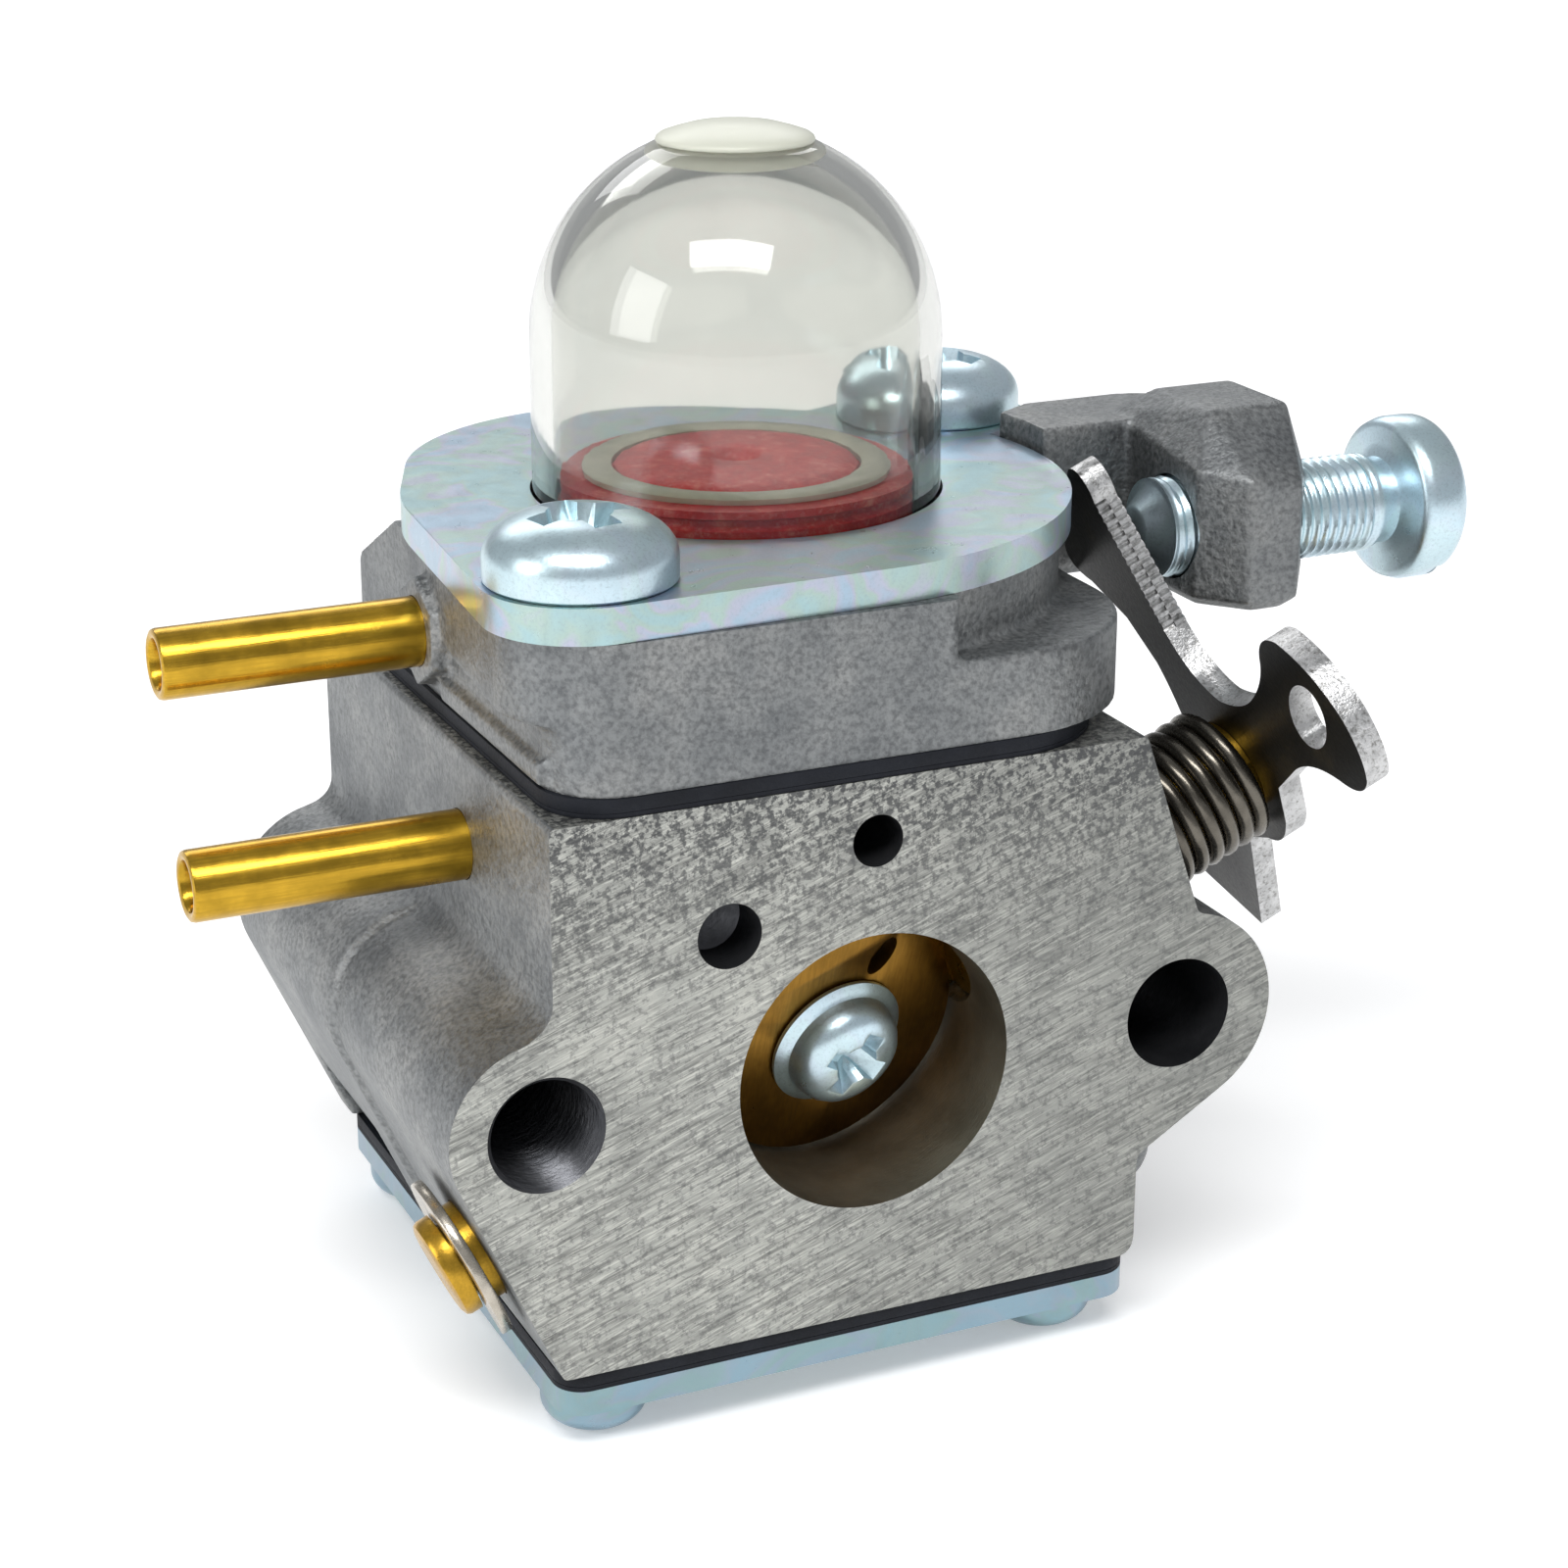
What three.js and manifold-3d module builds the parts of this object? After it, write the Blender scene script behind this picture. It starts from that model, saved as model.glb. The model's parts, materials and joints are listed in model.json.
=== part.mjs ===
// A small two-stroke diaphragm carburetor with a primer bulb, in millimetres, +Z up.
// The model is laid out from the centre of the throttle bore on the engine face:
// X to the right along the two mounting bolts, Y through the body, away from the engine, Z up.
// At the end the whole group is shifted so that its origin is the middle of its base.
import * as THREE from "three";
import { mergeVertices } from "three/addons/utils/BufferGeometryUtils.js";
import Module from "manifold-3d";

const wasm = await Module();
wasm.setup();

// ---------------------------------------------------------------- driving dimensions
const SEAM = 0.02; // air between stacked faces

const bolt = { x: 15.5, holeR: 2.68 }; // two mounting bolts, 31 mm apart
const body = { left: -15.1, right: 13.6, bottom: -12, top: 13.8, depth: 31, shoulder: 13.3 };
const ear = { leftR: 4.7, rightR: 4.9, waistY: 16, waistInset: 0.3 };
const bore = { throttleR: 6.56, throatR: 5.4, intakeR: 7.7, throttleEnd: 11, throatY: 19 };

const shaft = { tilt: 24, y: 5.4, r: 2.38, holeR: 2.47, left: -18.86, right: 16.9 };
const lever = { nearS: 23.3, thick: 1.2 };
const shaftEnd = { left: -20.6, right: 24.9 };
const idleAngle = 20; // how far the throttle plate stands open at idle, degrees
const blade = { thick: 0.8, gap: 0.28 };

const bulb = { x: 0.4, y: 16, r: 9.37, wall: 1.0, domeTop: 39.3, flangeR: 10.6, flangeT: 1.05 };
const crown = { r: 3.55, top: 39.6, underside: 37.4 }; // the thick button at the top of the bulb
const stack = { diaphragm: 0.2, pumpGasket: 0.6, castingTop: 21.3, plate: 1.6 };
const retainer = { front: [-11.7, 4.6], rear: [15.0, 24.6] };
const base = { gasket: 0.6, cover: 1.2, head: 1.9 };
const coverScrew = { inset: 3.2, headR: 2.45, threadR: 1.25 };

const tube = { r: 1.6, holeR: 1.05, fit: 0.03 };
const upperTube = { y: 16.4, z: 17.7, outer: -27.1, inner: -10.5 };
const lowerTube = { y: 11.3, z: 9.25, outer: -27.6, inner: -9.5 };

const idle = {
  y: 11.5, z: 19.7, tip: 18.9, tipR: 1.2, coneEnd: 20.1, threadR: 2.42,
  headR: 4.0, headLeft: 32.9, headRight: 35.7,
};
// The boss for the idle screw: its outline with the height of each shoulder, and its flat cap.
const lug = {
  bottom: 16.2,
  foot: 0.6,
  shoulders: [
    [20.9, 9.2, 22.9], [22.7, 7.1, 22.7], [25.4, 7.1, 22.3], [28.4, 11.4, 21.4],
    [28.4, 15.5, 21.4], [25.5, 17.5, 24.0], [20.9, 17.5, 24.0],
  ],
  capTop: 25.2,
  cap: [[22.7, 11.3], [27.0, 11.3], [27.0, 16.3], [22.7, 16.3]],
};
const arm = { left: 12, front: 15.4, right: 25.4, back: 20.5, bottom: 16.6, top: 24.0 };

const chamber = { x: -0.75, y: 15.5, r: 10.8, top: -8.7 };

// ---------------------------------------------------------------- materials
const finish = (hex, roughness, metalness, extra = {}) =>
  new THREE.MeshStandardMaterial({ color: hex, roughness, metalness, ...extra });
const castAluminium = () => finish(0x9a9c9c, 0.55, 0.8);
const zinc = () => finish(0xc3d2d8, 0.28, 0.9);
const brass = () => finish(0xc79a2c, 0.3, 0.95);
const darkSteel = () => finish(0x2e2c28, 0.4, 0.7);
const springSteel = () => finish(0x6d675c, 0.35, 0.9);
const blackRubber = () => finish(0x15171b, 0.7, 0);
const redRubber = () => finish(0xc23436, 0.45, 0);
const palePlastic = () => finish(0xcbc5ac, 0.5, 0);
const clearPlastic = () => finish(0xe6e8dc, 0.1, 0, { transparent: true, opacity: 0.35 });

// ---------------------------------------------------------------- geometry helpers
const rad = (degrees) => (degrees * Math.PI) / 180;

// A closed geometry as a solid that can be joined and cut.
function solid(geometry) {
  const bare = (geometry.index ? geometry.toNonIndexed() : geometry.clone()).deleteAttribute("normal");
  bare.deleteAttribute("uv");
  const merged = mergeVertices(bare, 1e-4);
  return new wasm.Manifold(
    new wasm.Mesh({
      numProp: 3,
      vertProperties: new Float32Array(merged.attributes.position.array),
      triVerts: new Uint32Array(merged.index.array),
    }),
  );
}

const join = (...solids) => solids.reduce((all, next) => all.add(next));
const cut = (from, ...solids) => solids.reduce((rest, next) => rest.subtract(next), from);

// A solid back as a three.js geometry with flat shading.
function geometryOf(made) {
  const mesh = made.getMesh();
  const geometry = new THREE.BufferGeometry();
  geometry.setAttribute("position", new THREE.BufferAttribute(new Float32Array(mesh.vertProperties), 3));
  geometry.setIndex(new THREE.BufferAttribute(new Uint32Array(mesh.triVerts), 1));
  const flat = geometry.toNonIndexed();
  flat.computeVertexNormals();
  return flat;
}

const isSolid = (shape) => shape instanceof wasm.Manifold;

function piece(name, shape, material, parent) {
  const mesh = new THREE.Mesh(isSolid(shape) ? geometryOf(shape) : shape, material);
  mesh.name = name;
  parent.add(mesh);
  return mesh;
}

// An outline in X and Y pushed up from z0 to z1.
const riseZ = (shape, z0, z1, steps = 12) =>
  new THREE.ExtrudeGeometry(shape, { depth: z1 - z0, bevelEnabled: false, curveSegments: steps })
    .translate(0, 0, z0);

// An outline in X and Z pushed back from y0 to y1.
const pushY = (shape, y0, y1, steps = 12) =>
  new THREE.ExtrudeGeometry(shape, { depth: y1 - y0, bevelEnabled: false, curveSegments: steps })
    .rotateX(Math.PI / 2)
    .translate(0, y1, 0);

// An outline in Y and Z pushed right from x0 to x1.
const pushX = (shape, x0, x1, steps = 12) =>
  new THREE.ExtrudeGeometry(shape, { depth: x1 - x0, bevelEnabled: false, curveSegments: steps })
    .applyMatrix4(new THREE.Matrix4().makeBasis(Y_AXIS, Z_AXIS, X_AXIS))
    .translate(x0, 0, 0);

const X_AXIS = new THREE.Vector3(1, 0, 0);
const Y_AXIS = new THREE.Vector3(0, 1, 0);
const Z_AXIS = new THREE.Vector3(0, 0, 1);

// A solid of revolution about Z from [radius, z] points, from the axis and back to it.
const spinZ = (points, sides = 32) =>
  new THREE.LatheGeometry(points.map(([r, z]) => new THREE.Vector2(r, z)), sides).rotateX(Math.PI / 2);

// The same about X, with [radius, x] points, and about Y, with [radius, y] points.
const spinX = (points, sides = 32) => spinZ(points, sides).rotateY(Math.PI / 2);
const spinY = (points, sides = 32) =>
  new THREE.LatheGeometry(points.map(([r, y]) => new THREE.Vector2(r, y)), sides);

const rod = (r, from, to) => [[0, from], [r, from], [r, to], [0, to]];
const ring = (inner, outer, from, to) => [
  [inner, from], [outer, from], [outer, to], [inner, to], [inner, from],
];

// Corner points of the convex outline round a set of [x, y, r] discs.
function roundDiscs(discs, steps = 36) {
  const points = discs.flatMap(([x, y, r]) =>
    Array.from({ length: steps }, (_, i) => {
      const a = (i / steps) * 2 * Math.PI;
      return [x + r * Math.cos(a), y + r * Math.sin(a)];
    }),
  ).sort((a, b) => a[0] - b[0] || a[1] - b[1]);
  const turn = (o, a, b) => (a[0] - o[0]) * (b[1] - o[1]) - (a[1] - o[1]) * (b[0] - o[0]);
  const half = (list) => {
    const chain = [];
    for (const p of list) {
      while (chain.length > 1 && turn(chain.at(-2), chain.at(-1), p) <= 1e-6) chain.pop();
      chain.push(p);
    }
    return chain.slice(0, -1);
  };
  return [...half(points), ...half([...points].reverse())];
}

const outline = (points) => new THREE.Shape(points.map(([x, y]) => new THREE.Vector2(x, y)));

function roundedBox(x0, y0, x1, y1, r) {
  // corner radii: front left, front right, back right, back left
  const corner = typeof r === "number" ? [r, r, r, r] : r;
  const s = new THREE.Shape();
  s.moveTo(x0 + corner[0], y0);
  s.lineTo(x1 - corner[1], y0);
  s.absarc(x1 - corner[1], y0 + corner[1], corner[1], -Math.PI / 2, 0);
  s.lineTo(x1, y1 - corner[2]);
  s.absarc(x1 - corner[2], y1 - corner[2], corner[2], 0, Math.PI / 2);
  s.lineTo(x0 + corner[3], y1);
  s.absarc(x0 + corner[3], y1 - corner[3], corner[3], Math.PI / 2, Math.PI);
  s.lineTo(x0, y0 + corner[0]);
  s.absarc(x0 + corner[0], y0 + corner[0], corner[0], Math.PI, 1.5 * Math.PI);
  return s;
}

// ---------------------------------------------------------------- frames
const carburetor = new THREE.Group();
const layout = new THREE.Group(); // everything, measured from the bore centre
carburetor.add(layout);

// The throttle shaft crosses the bore on a slope so that it clears both mounting bolts.
const along = new THREE.Vector3(Math.cos(rad(shaft.tilt)), 0, Math.sin(rad(shaft.tilt)));
const across = new THREE.Vector3(-Math.sin(rad(shaft.tilt)), 0, Math.cos(rad(shaft.tilt)));
// Shaft frame: x to the back of the body, y across the shaft, z along it to the lever.
const shaftMatrix = new THREE.Matrix4().makeBasis(Y_AXIS, across, along).setPosition(0, shaft.y, 0);
const throttle = new THREE.Group();
throttle.applyMatrix4(shaftMatrix);
layout.add(throttle);
const inShaftFrame = (geometry) => geometry.applyMatrix4(shaftMatrix);

// ---------------------------------------------------------------- main body
// The engine-side outline: a block with a round ear for each bolt and a sloped face at each
// end of the throttle shaft.
function bodyShape(inset = 0) {
  // X where a face square to the shaft is at height z
  const onSlope = (s, z) => (s - z * along.z) / along.x;
  const leftR = ear.leftR - inset;
  const leftS = -bolt.x * along.x - leftR;
  const rightReach = Math.sqrt(ear.rightR ** 2 - (shaft.right - bolt.x * along.x) ** 2);
  const rightEnd = Math.atan2(rightReach, shaft.right - bolt.x * along.x) + rad(shaft.tilt);
  const toCorner = Math.hypot(body.right - bolt.x, 6.9);
  const lowTangent = Math.atan2(-6.9, body.right - bolt.x) + Math.acos(ear.rightR / toCorner);
  const s = new THREE.Shape();
  s.moveTo(body.left, body.top);
  s.lineTo(body.left, 6.0);
  s.quadraticCurveTo(body.left, 4.9, bolt.x * -1 - 1.0, leftR * 0.978);
  s.absarc(-bolt.x, 0, leftR, rad(102), rad(180 + shaft.tilt), false);
  s.lineTo(onSlope(leftS, body.bottom), body.bottom);
  s.lineTo(body.right - 0.8, body.bottom);
  s.quadraticCurveTo(body.right, body.bottom, body.right, body.bottom + 0.8);
  s.lineTo(body.right, -6.9);
  s.absarc(bolt.x, 0, ear.rightR, lowTangent, rightEnd, false);
  s.lineTo(body.shoulder, body.top);
  return s;
}

// The bore narrows from the intake to a throat and opens again at the throttle plate.
function boreProfile() {
  const points = [[0, -1], [bore.throttleR, -1], [bore.throttleR, bore.throttleEnd]];
  const intoThroat = 5;
  const steps = 4;
  for (let i = 1; i <= steps; i++) {
    const t = i / steps;
    const ease = (1 - Math.cos(Math.PI * t)) / 2;
    points.push([
      bore.throttleR + (bore.throatR - bore.throttleR) * ease,
      bore.throttleEnd + (bore.throatY - intoThroat / 2 - bore.throttleEnd) * t,
    ]);
  }
  for (let i = 0; i <= steps; i++) {
    const t = i / steps;
    const ease = t * t * (3 - 2 * t);
    points.push([
      bore.throatR + (bore.intakeR - bore.throatR) * ease,
      bore.throatY + (body.depth - 1.5 - bore.throatY) * t,
    ]);
  }
  points.push([bore.intakeR, body.depth + 1], [0, body.depth + 1]);
  return points;
}

const springSeatR = 3.7; // a flat seat for the return spring
const needleSeat = { x: 8.3, y: 15.5, r: 1.75, top: -2.5 };
const nozzle = { x: 0, y: 19, r: 1.5, top: -4.6, bottom: -9.3 };
const leverPin = { x: 5.3, y: 15.5, z: -10.0, r: 0.55, halfLength: 4.0 };
const leverSpring = { x: 2.6, r: 1.2, top: -7.0 };
const towers = [
  { name: "high", y: 10.6, z: -5.2, r: 3.0, right: 21.6 },
  { name: "low", y: 6.9, z: -8.9, r: 2.6, right: 17.2 },
];
const mixture = { threadR: 1.75, holeR: 1.9, tip: 7.9, recess: 0.5 };

function mainBody() {
  const front = solid(pushY(bodyShape(ear.waistInset), 0, ear.waistY, 10));
  const back = solid(pushY(bodyShape(), ear.waistY, body.depth, 10));
  const needleTowers = towers.map((t) =>
    solid(spinX([
      [0, 12], [t.r, 12], [t.r, t.right - 0.5], [t.r - 0.5, t.right], [0, t.right],
    ], 18).translate(0, t.y, t.z)),
  );
  const cuts = [
    solid(spinY(boreProfile(), 36)),
    ...[-bolt.x, bolt.x].map((x) =>
      solid(spinY(rod(bolt.holeR, -1, body.depth + 1), 24).translate(x, 0, 0))),
    solid(inShaftFrame(spinZ(rod(shaft.holeR, -30, 30), 32))),
    solid(inShaftFrame(spinZ(rod(springSeatR, shaft.right, 30), 32))),
    solid(spinY(rod(1.2, -1, 5.2), 20).translate(0, 0, 10.96)), // impulse passage
    solid(spinZ(rod(1.0, 8, 15), 16).translate(0, 4.4, 0)),
    solid(spinY(rod(1.5, -1, 2.4), 24).translate(-7, 0, 7.7)), // blind locating hole
    solid(spinX(rod(tube.r + tube.fit, -16, lowerTube.inner - 0.1), 24)
      .translate(0, lowerTube.y, lowerTube.z)),
    solid(spinZ(rod(1.0, lowerTube.z - 0.2, 15), 16).translate(lowerTube.inner - 1.5, lowerTube.y, 0)),
    solid(spinZ(rod(chamber.r, body.bottom - 1, chamber.top), 28).translate(chamber.x, chamber.y, 0)),
    solid(spinZ(rod(needleSeat.r, chamber.top - 1, needleSeat.top), 14)
      .translate(needleSeat.x, needleSeat.y, 0)),
    solid(spinZ(rod(nozzle.r + 0.05, chamber.top - 1, -3.5), 14).translate(nozzle.x, nozzle.y, 0)),
    solid(spinZ(rod(leverSpring.r + 0.4, chamber.top - 1, leverSpring.top), 14)
      .translate(leverSpring.x, leverPin.y, 0)),
    ...towers.map((t) =>
      solid(spinX(rod(mixture.holeR, mixture.tip - 0.6, t.right + 1), 16).translate(0, t.y, t.z))),
    // pockets that lighten the casting behind each ear
    solid(new THREE.BoxGeometry(5.4, 9.5, 7.4).translate(body.right + 1.4, 24.6, 9.4)),
    solid(new THREE.BoxGeometry(3.2, 9.5, 5.2).translate(body.left, 24.6, -9.6)),
  ];
  const bosses = [-1, 1].map((side) =>
    solid(new THREE.BoxGeometry(2.6, 1.9, 2.6)
      .translate(leverPin.x, leverPin.y + side * 3.15, leverPin.z + 0.5)),
  );
  const screwHoles = coverScrewPlaces().map(([x, y]) =>
    solid(spinZ(rod(coverScrew.threadR + 0.08, body.bottom - 1, body.bottom + 4.7), 12)
      .translate(x, y, 0)),
  );
  const lifted = cut(join(front, back, ...needleTowers), ...cuts);
  return cut(
    join(lifted, ...bosses),
    ...screwHoles,
    solid(spinY(rod(leverPin.r + 0.06, -4.2, 4.2), 16).translate(leverPin.x, leverPin.y, leverPin.z)),
  );
}

// Four screws near the corners of the metering cover.
function coverScrewPlaces() {
  const xs = [-12.4, 10.4];
  const ys = [coverScrew.inset, body.depth - coverScrew.inset];
  return ys.flatMap((y) => xs.map((x) => [x, y]));
}

piece("main_body", mainBody(), castAluminium(), layout);

// ---------------------------------------------------------------- top stack
const diaphragmTop = body.top + SEAM + stack.diaphragm;
const gasketTop = diaphragmTop + SEAM + stack.pumpGasket;
const castingBottom = gasketTop + SEAM;
const plateBottom = stack.castingTop + SEAM;
const plateTop = plateBottom + stack.plate;

const gasketShape = () => roundedBox(-14.5, 0.05, 12.6, 30.7, [3.0, 5.5, 4, 4]);
const castingShape = () => roundedBox(-14.3, 0.15, 14.8, 30.6, [3.0, 7.5, 4, 4]);
const retainerHoles = () => [retainer.front, retainer.rear];
const retainerThreadR = 2.0;

function sheetWithHoles(shape, z0, z1) {
  const passages = [[lowerTube.inner - 1.5, lowerTube.y, 1.0], [0, 4.4, 1.0]];
  const holes = [[...retainer.front, retainerThreadR + 0.1], ...passages];
  return cut(
    solid(riseZ(shape, z0, z1, 8)),
    ...holes.map(([x, y, r]) => solid(spinZ(rod(r, z0 - 1, z1 + 1), 16).translate(x, y, 0))),
  );
}

piece("pump_diaphragm", sheetWithHoles(gasketShape(), body.top + SEAM, diaphragmTop),
  blackRubber(), layout);
piece("pump_gasket", sheetWithHoles(gasketShape(), diaphragmTop + SEAM, gasketTop),
  blackRubber(), layout);

// The retainer plate: a disc round the bulb with a lobe for each screw.
const plateDiscs = [[bulb.x, bulb.y, 15.4], [-1.3, 21, 12], [...retainer.front, 4.35]];
const rearLobe = (grow = 0) => [[...retainer.rear, 4.6 + grow], [bulb.x + 4, bulb.y + 4, 6 + grow]];
function plateSolid(z0, z1, grow = 0) {
  const discs = plateDiscs.map(([x, y, r]) => [x, y, r + grow]);
  return join(
    solid(riseZ(outline(roundDiscs(discs)), z0, z1)),
    solid(riseZ(outline(roundDiscs(rearLobe(grow), 36)), z0, z1)),
  );
}

const shoulderTop = 18.5;
const screen = { centre: [8.6, 20], r: 2.95 };
const valve = { bottom: 19.2, r: 8.1, bodyTop: 23.85, domeR: 5.65, top: 24.35, ringR: 7.1 };

// The boss is the convex body round its foot, its shoulders and its cap.
function idleLug() {
  const middle = [24.7, 12.3];
  const inward = (from, to) => from + Math.sign(to - from) * lug.foot;
  return wasm.Manifold.hull([
    ...lug.shoulders.map(([x, y]) => [inward(x, middle[0]), inward(y, middle[1]), lug.bottom]),
    ...lug.shoulders.map(([x, y]) => [x, y, lug.bottom + lug.foot]),
    ...lug.shoulders,
    ...lug.cap.map(([x, y]) => [x, y, lug.capTop]),
  ]);
}

function pumpCover() {
  const upright = (r, z0, z1, [x, y], sides) => solid(spinZ(rod(r, z0, z1), sides).translate(x, y, 0));
  const below = castingBottom - 1;
  const above = arm.top + 1;
  const lower = solid(riseZ(castingShape(), castingBottom, shoulderTop, 10));
  const upperDiscs = plateDiscs.map(([x, y, r]) => [x, y, r - 0.5]);
  const upper = solid(riseZ(outline(roundDiscs(upperDiscs, 40)), shoulderTop - 1, stack.castingTop));
  const squared = solid(riseZ(roundedBox(-14.3, 0.15, 4, 30.6, [3.0, 0.5, 1, 4]),
    shoulderTop - 1, stack.castingTop));
  const rearPost = solid(riseZ(outline(roundDiscs([[...retainer.rear, 4.1], [10, 20, 5]], 28)),
    castingBottom, stack.castingTop));
  // The arm runs behind the throttle lever and carries the idle-screw boss at its end.
  const armShape = roundedBox(arm.left, arm.front, arm.right, arm.back, [0.5, 0.5, 2.6, 0.5]);
  const armSolid = solid(riseZ(armShape, arm.bottom, arm.top, 6));
  const clearPlate = plateSolid(stack.castingTop, above, 0.35);
  const tubeBoss = solid(spinX([
    [0, -15.2], [2.6, -15.2], [2.6, -11], [0, -11],
  ], 6).translate(0, upperTube.y, upperTube.z));
  const backSlope = new THREE.Shape();
  backSlope.moveTo(21.2, stack.castingTop + 0.01);
  backSlope.lineTo(32, 15.9);
  backSlope.lineTo(32, stack.castingTop + 2);
  backSlope.lineTo(21.2, stack.castingTop + 2);
  const ledge = solid(new THREE.BoxGeometry(0.7, 12.5, 1.0).translate(-14.35, 8.6, castingBottom + 0.7));
  const bulbCentre = [bulb.x, bulb.y];
  return cut(
    join(lower, upper, squared, rearPost, armSolid.subtract(clearPlate), idleLug(), tubeBoss, ledge),
    solid(pushX(backSlope, -20, -9.5)),
    solid(spinX(rod(idle.threadR + 0.1, arm.left, idle.headRight), 28).translate(0, idle.y, idle.z))
      .intersect(solid(new THREE.BoxGeometry(20, 20, 20).translate(30, idle.y, idle.z))),
    solid(spinX(rod(tube.r + tube.fit, -17, upperTube.inner - 0.1), 24)
      .translate(0, upperTube.y, upperTube.z)),
    upright(1.0, below, upperTube.z + 0.2, [upperTube.inner - 1.4, upperTube.y], 16),
    upright(bulb.flangeR + 0.15, stack.castingTop - bulb.flangeT - 0.1, above, bulbCentre, 32),
    upright(valve.r + 0.15, valve.bottom - 0.1, above, bulbCentre, 28),
    upright(0.8, below, above, [bulb.x + 4.6, bulb.y + 2], 12), // from the pump to the bulb
    upright(6.4, below, castingBottom + 1.6, [-2, 12], 24), // pump chamber
    upright(3.1, below, castingBottom + 1.9, screen.centre, 20),
    upright(1.0, below, castingBottom + 1.2, [0, 4.4], 16), // impulse passage
    ...retainerHoles().map((place) => upright(retainerThreadR + 0.08, below, above, place, 20)),
  );
}
piece("pump_cover", pumpCover(), castAluminium(), layout);

// A fine gauze disc that keeps dirt out of the fuel pump.
piece("inlet_screen", spinZ(rod(screen.r, castingBottom + 1.2, castingBottom + 1.75), 28)
  .translate(...screen.centre, 0), brass(), layout);

const plateHole = solid(spinZ(rod(bulb.r + 0.12, 20, 24), 40).translate(bulb.x, bulb.y, 0));
piece("retainer_plate", cut(
  plateSolid(plateBottom, plateTop),
  plateHole,
  ...retainerHoles().map(([x, y]) =>
    solid(spinZ(rod(retainerThreadR + 0.15, 20, 24), 24).translate(x, y, 0))),
), zinc(), layout);

// ---------------------------------------------------------------- primer
function primerBulb() {
  const flangeBottom = stack.castingTop - bulb.flangeT;
  const inner = bulb.r - bulb.wall;
  const domeCentre = bulb.domeTop - bulb.r;
  const flangeTop = stack.castingTop - SEAM;
  const points = [[inner, flangeBottom], [bulb.flangeR, flangeBottom], [bulb.flangeR, flangeTop],
    [bulb.r, flangeTop]];
  const steps = 6;
  const { r: crownR, top: crownTop, underside } = crown;
  for (let i = 0; i <= steps; i++) {
    const a = (i / steps) * Math.acos((crownR + 0.3) / bulb.r);
    points.push([bulb.r * Math.cos(a), domeCentre + bulb.r * Math.sin(a)]);
  }
  const collar = domeCentre + Math.sqrt(bulb.r ** 2 - crownR ** 2);
  const plugR = crownR - 0.1;
  points.push(
    [crownR, collar + 0.2], [crownR - 0.15, collar + 0.35], [0.6 * crownR, crownTop - 0.15], [0, crownTop],
    [0, underside], [plugR, underside],
  );
  for (let i = 0; i <= steps; i++) {
    const a = (1 - i / steps) * Math.acos(plugR / inner);
    points.push([inner * Math.cos(a), domeCentre + inner * Math.sin(a)]);
  }
  points.push([inner, flangeBottom]);
  return spinZ(points, 26).translate(bulb.x, bulb.y, 0);
}
piece("primer_bulb", primerBulb(), clearPlastic(), layout);

piece("primer_valve", spinZ([
  [0, valve.bottom], [valve.r, valve.bottom], [valve.r, valve.bodyTop], [valve.domeR, valve.bodyTop],
  [valve.domeR - 0.25, valve.top], [1.15, valve.top + 0.1], [0.9, valve.top - 0.7], [0, valve.top - 0.75],
], 28).translate(bulb.x, bulb.y, 0), redRubber(), layout);
const ringTop = valve.bodyTop + 0.4;
piece("valve_ring", spinZ([
  [valve.domeR + 0.1, valve.bodyTop + SEAM], [valve.ringR, valve.bodyTop + SEAM],
  [valve.ringR, ringTop - 0.1], [valve.ringR - 0.2, ringTop], [valve.domeR + 0.1, ringTop],
  [valve.domeR + 0.1, valve.bodyTop + SEAM],
], 28).translate(bulb.x, bulb.y, 0), palePlastic(), layout);

// ---------------------------------------------------------------- screws
// A cross recess cut from the top of a head.
function crossRecess(top, half, width, depth) {
  const arm = (turn) =>
    solid(new THREE.BoxGeometry(2 * half, width, 2 * depth).rotateZ(turn).translate(0, 0, top));
  return join(arm(0), arm(Math.PI / 2));
}

function panScrew(headR, headT, threadR, length, flat, recess) {
  const head = [[0, -length], [threadR, -length + 0.4], [threadR, 0], [headR, 0], [headR, headT * 0.35]];
  const steps = 2;
  for (let i = 1; i <= steps; i++) {
    const a = (i / steps) * (Math.PI / 2);
    head.push([flat + (headR - flat) * Math.cos(a), headT * (0.35 + 0.65 * Math.sin(a))]);
  }
  head.push([0, headT]);
  return cut(solid(spinZ(head, 16)), crossRecess(headT, recess, recess * 0.36, headT * 0.55));
}

const retainerScrewLength = 8.4;
[["front", retainer.front, 12], ["rear", retainer.rear, 40]].forEach(([place, [x, y], turn]) => {
  const screw = piece(`retainer_screw_${place}`,
    panScrew(4.15, 2.9, retainerThreadR, retainerScrewLength, 1.2, 2.5), zinc(), layout);
  screw.position.set(x, y, plateTop + SEAM);
  screw.rotation.z = rad(turn);
});

// ---------------------------------------------------------------- fuel tubes
const brassTube = ({ inner, outer, y, z }) => {
  const lip = 0.25;
  return spinX([
    [tube.holeR, outer + lip], [tube.r - lip, outer], [tube.r, outer + lip], [tube.r, inner - 0.15],
    [tube.holeR, inner - 0.15], [tube.holeR, outer + lip],
  ], 24).translate(0, y, z);
};
piece("inlet_tube", brassTube(upperTube), brass(), layout);
piece("return_tube", brassTube(lowerTube), brass(), layout);

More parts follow.
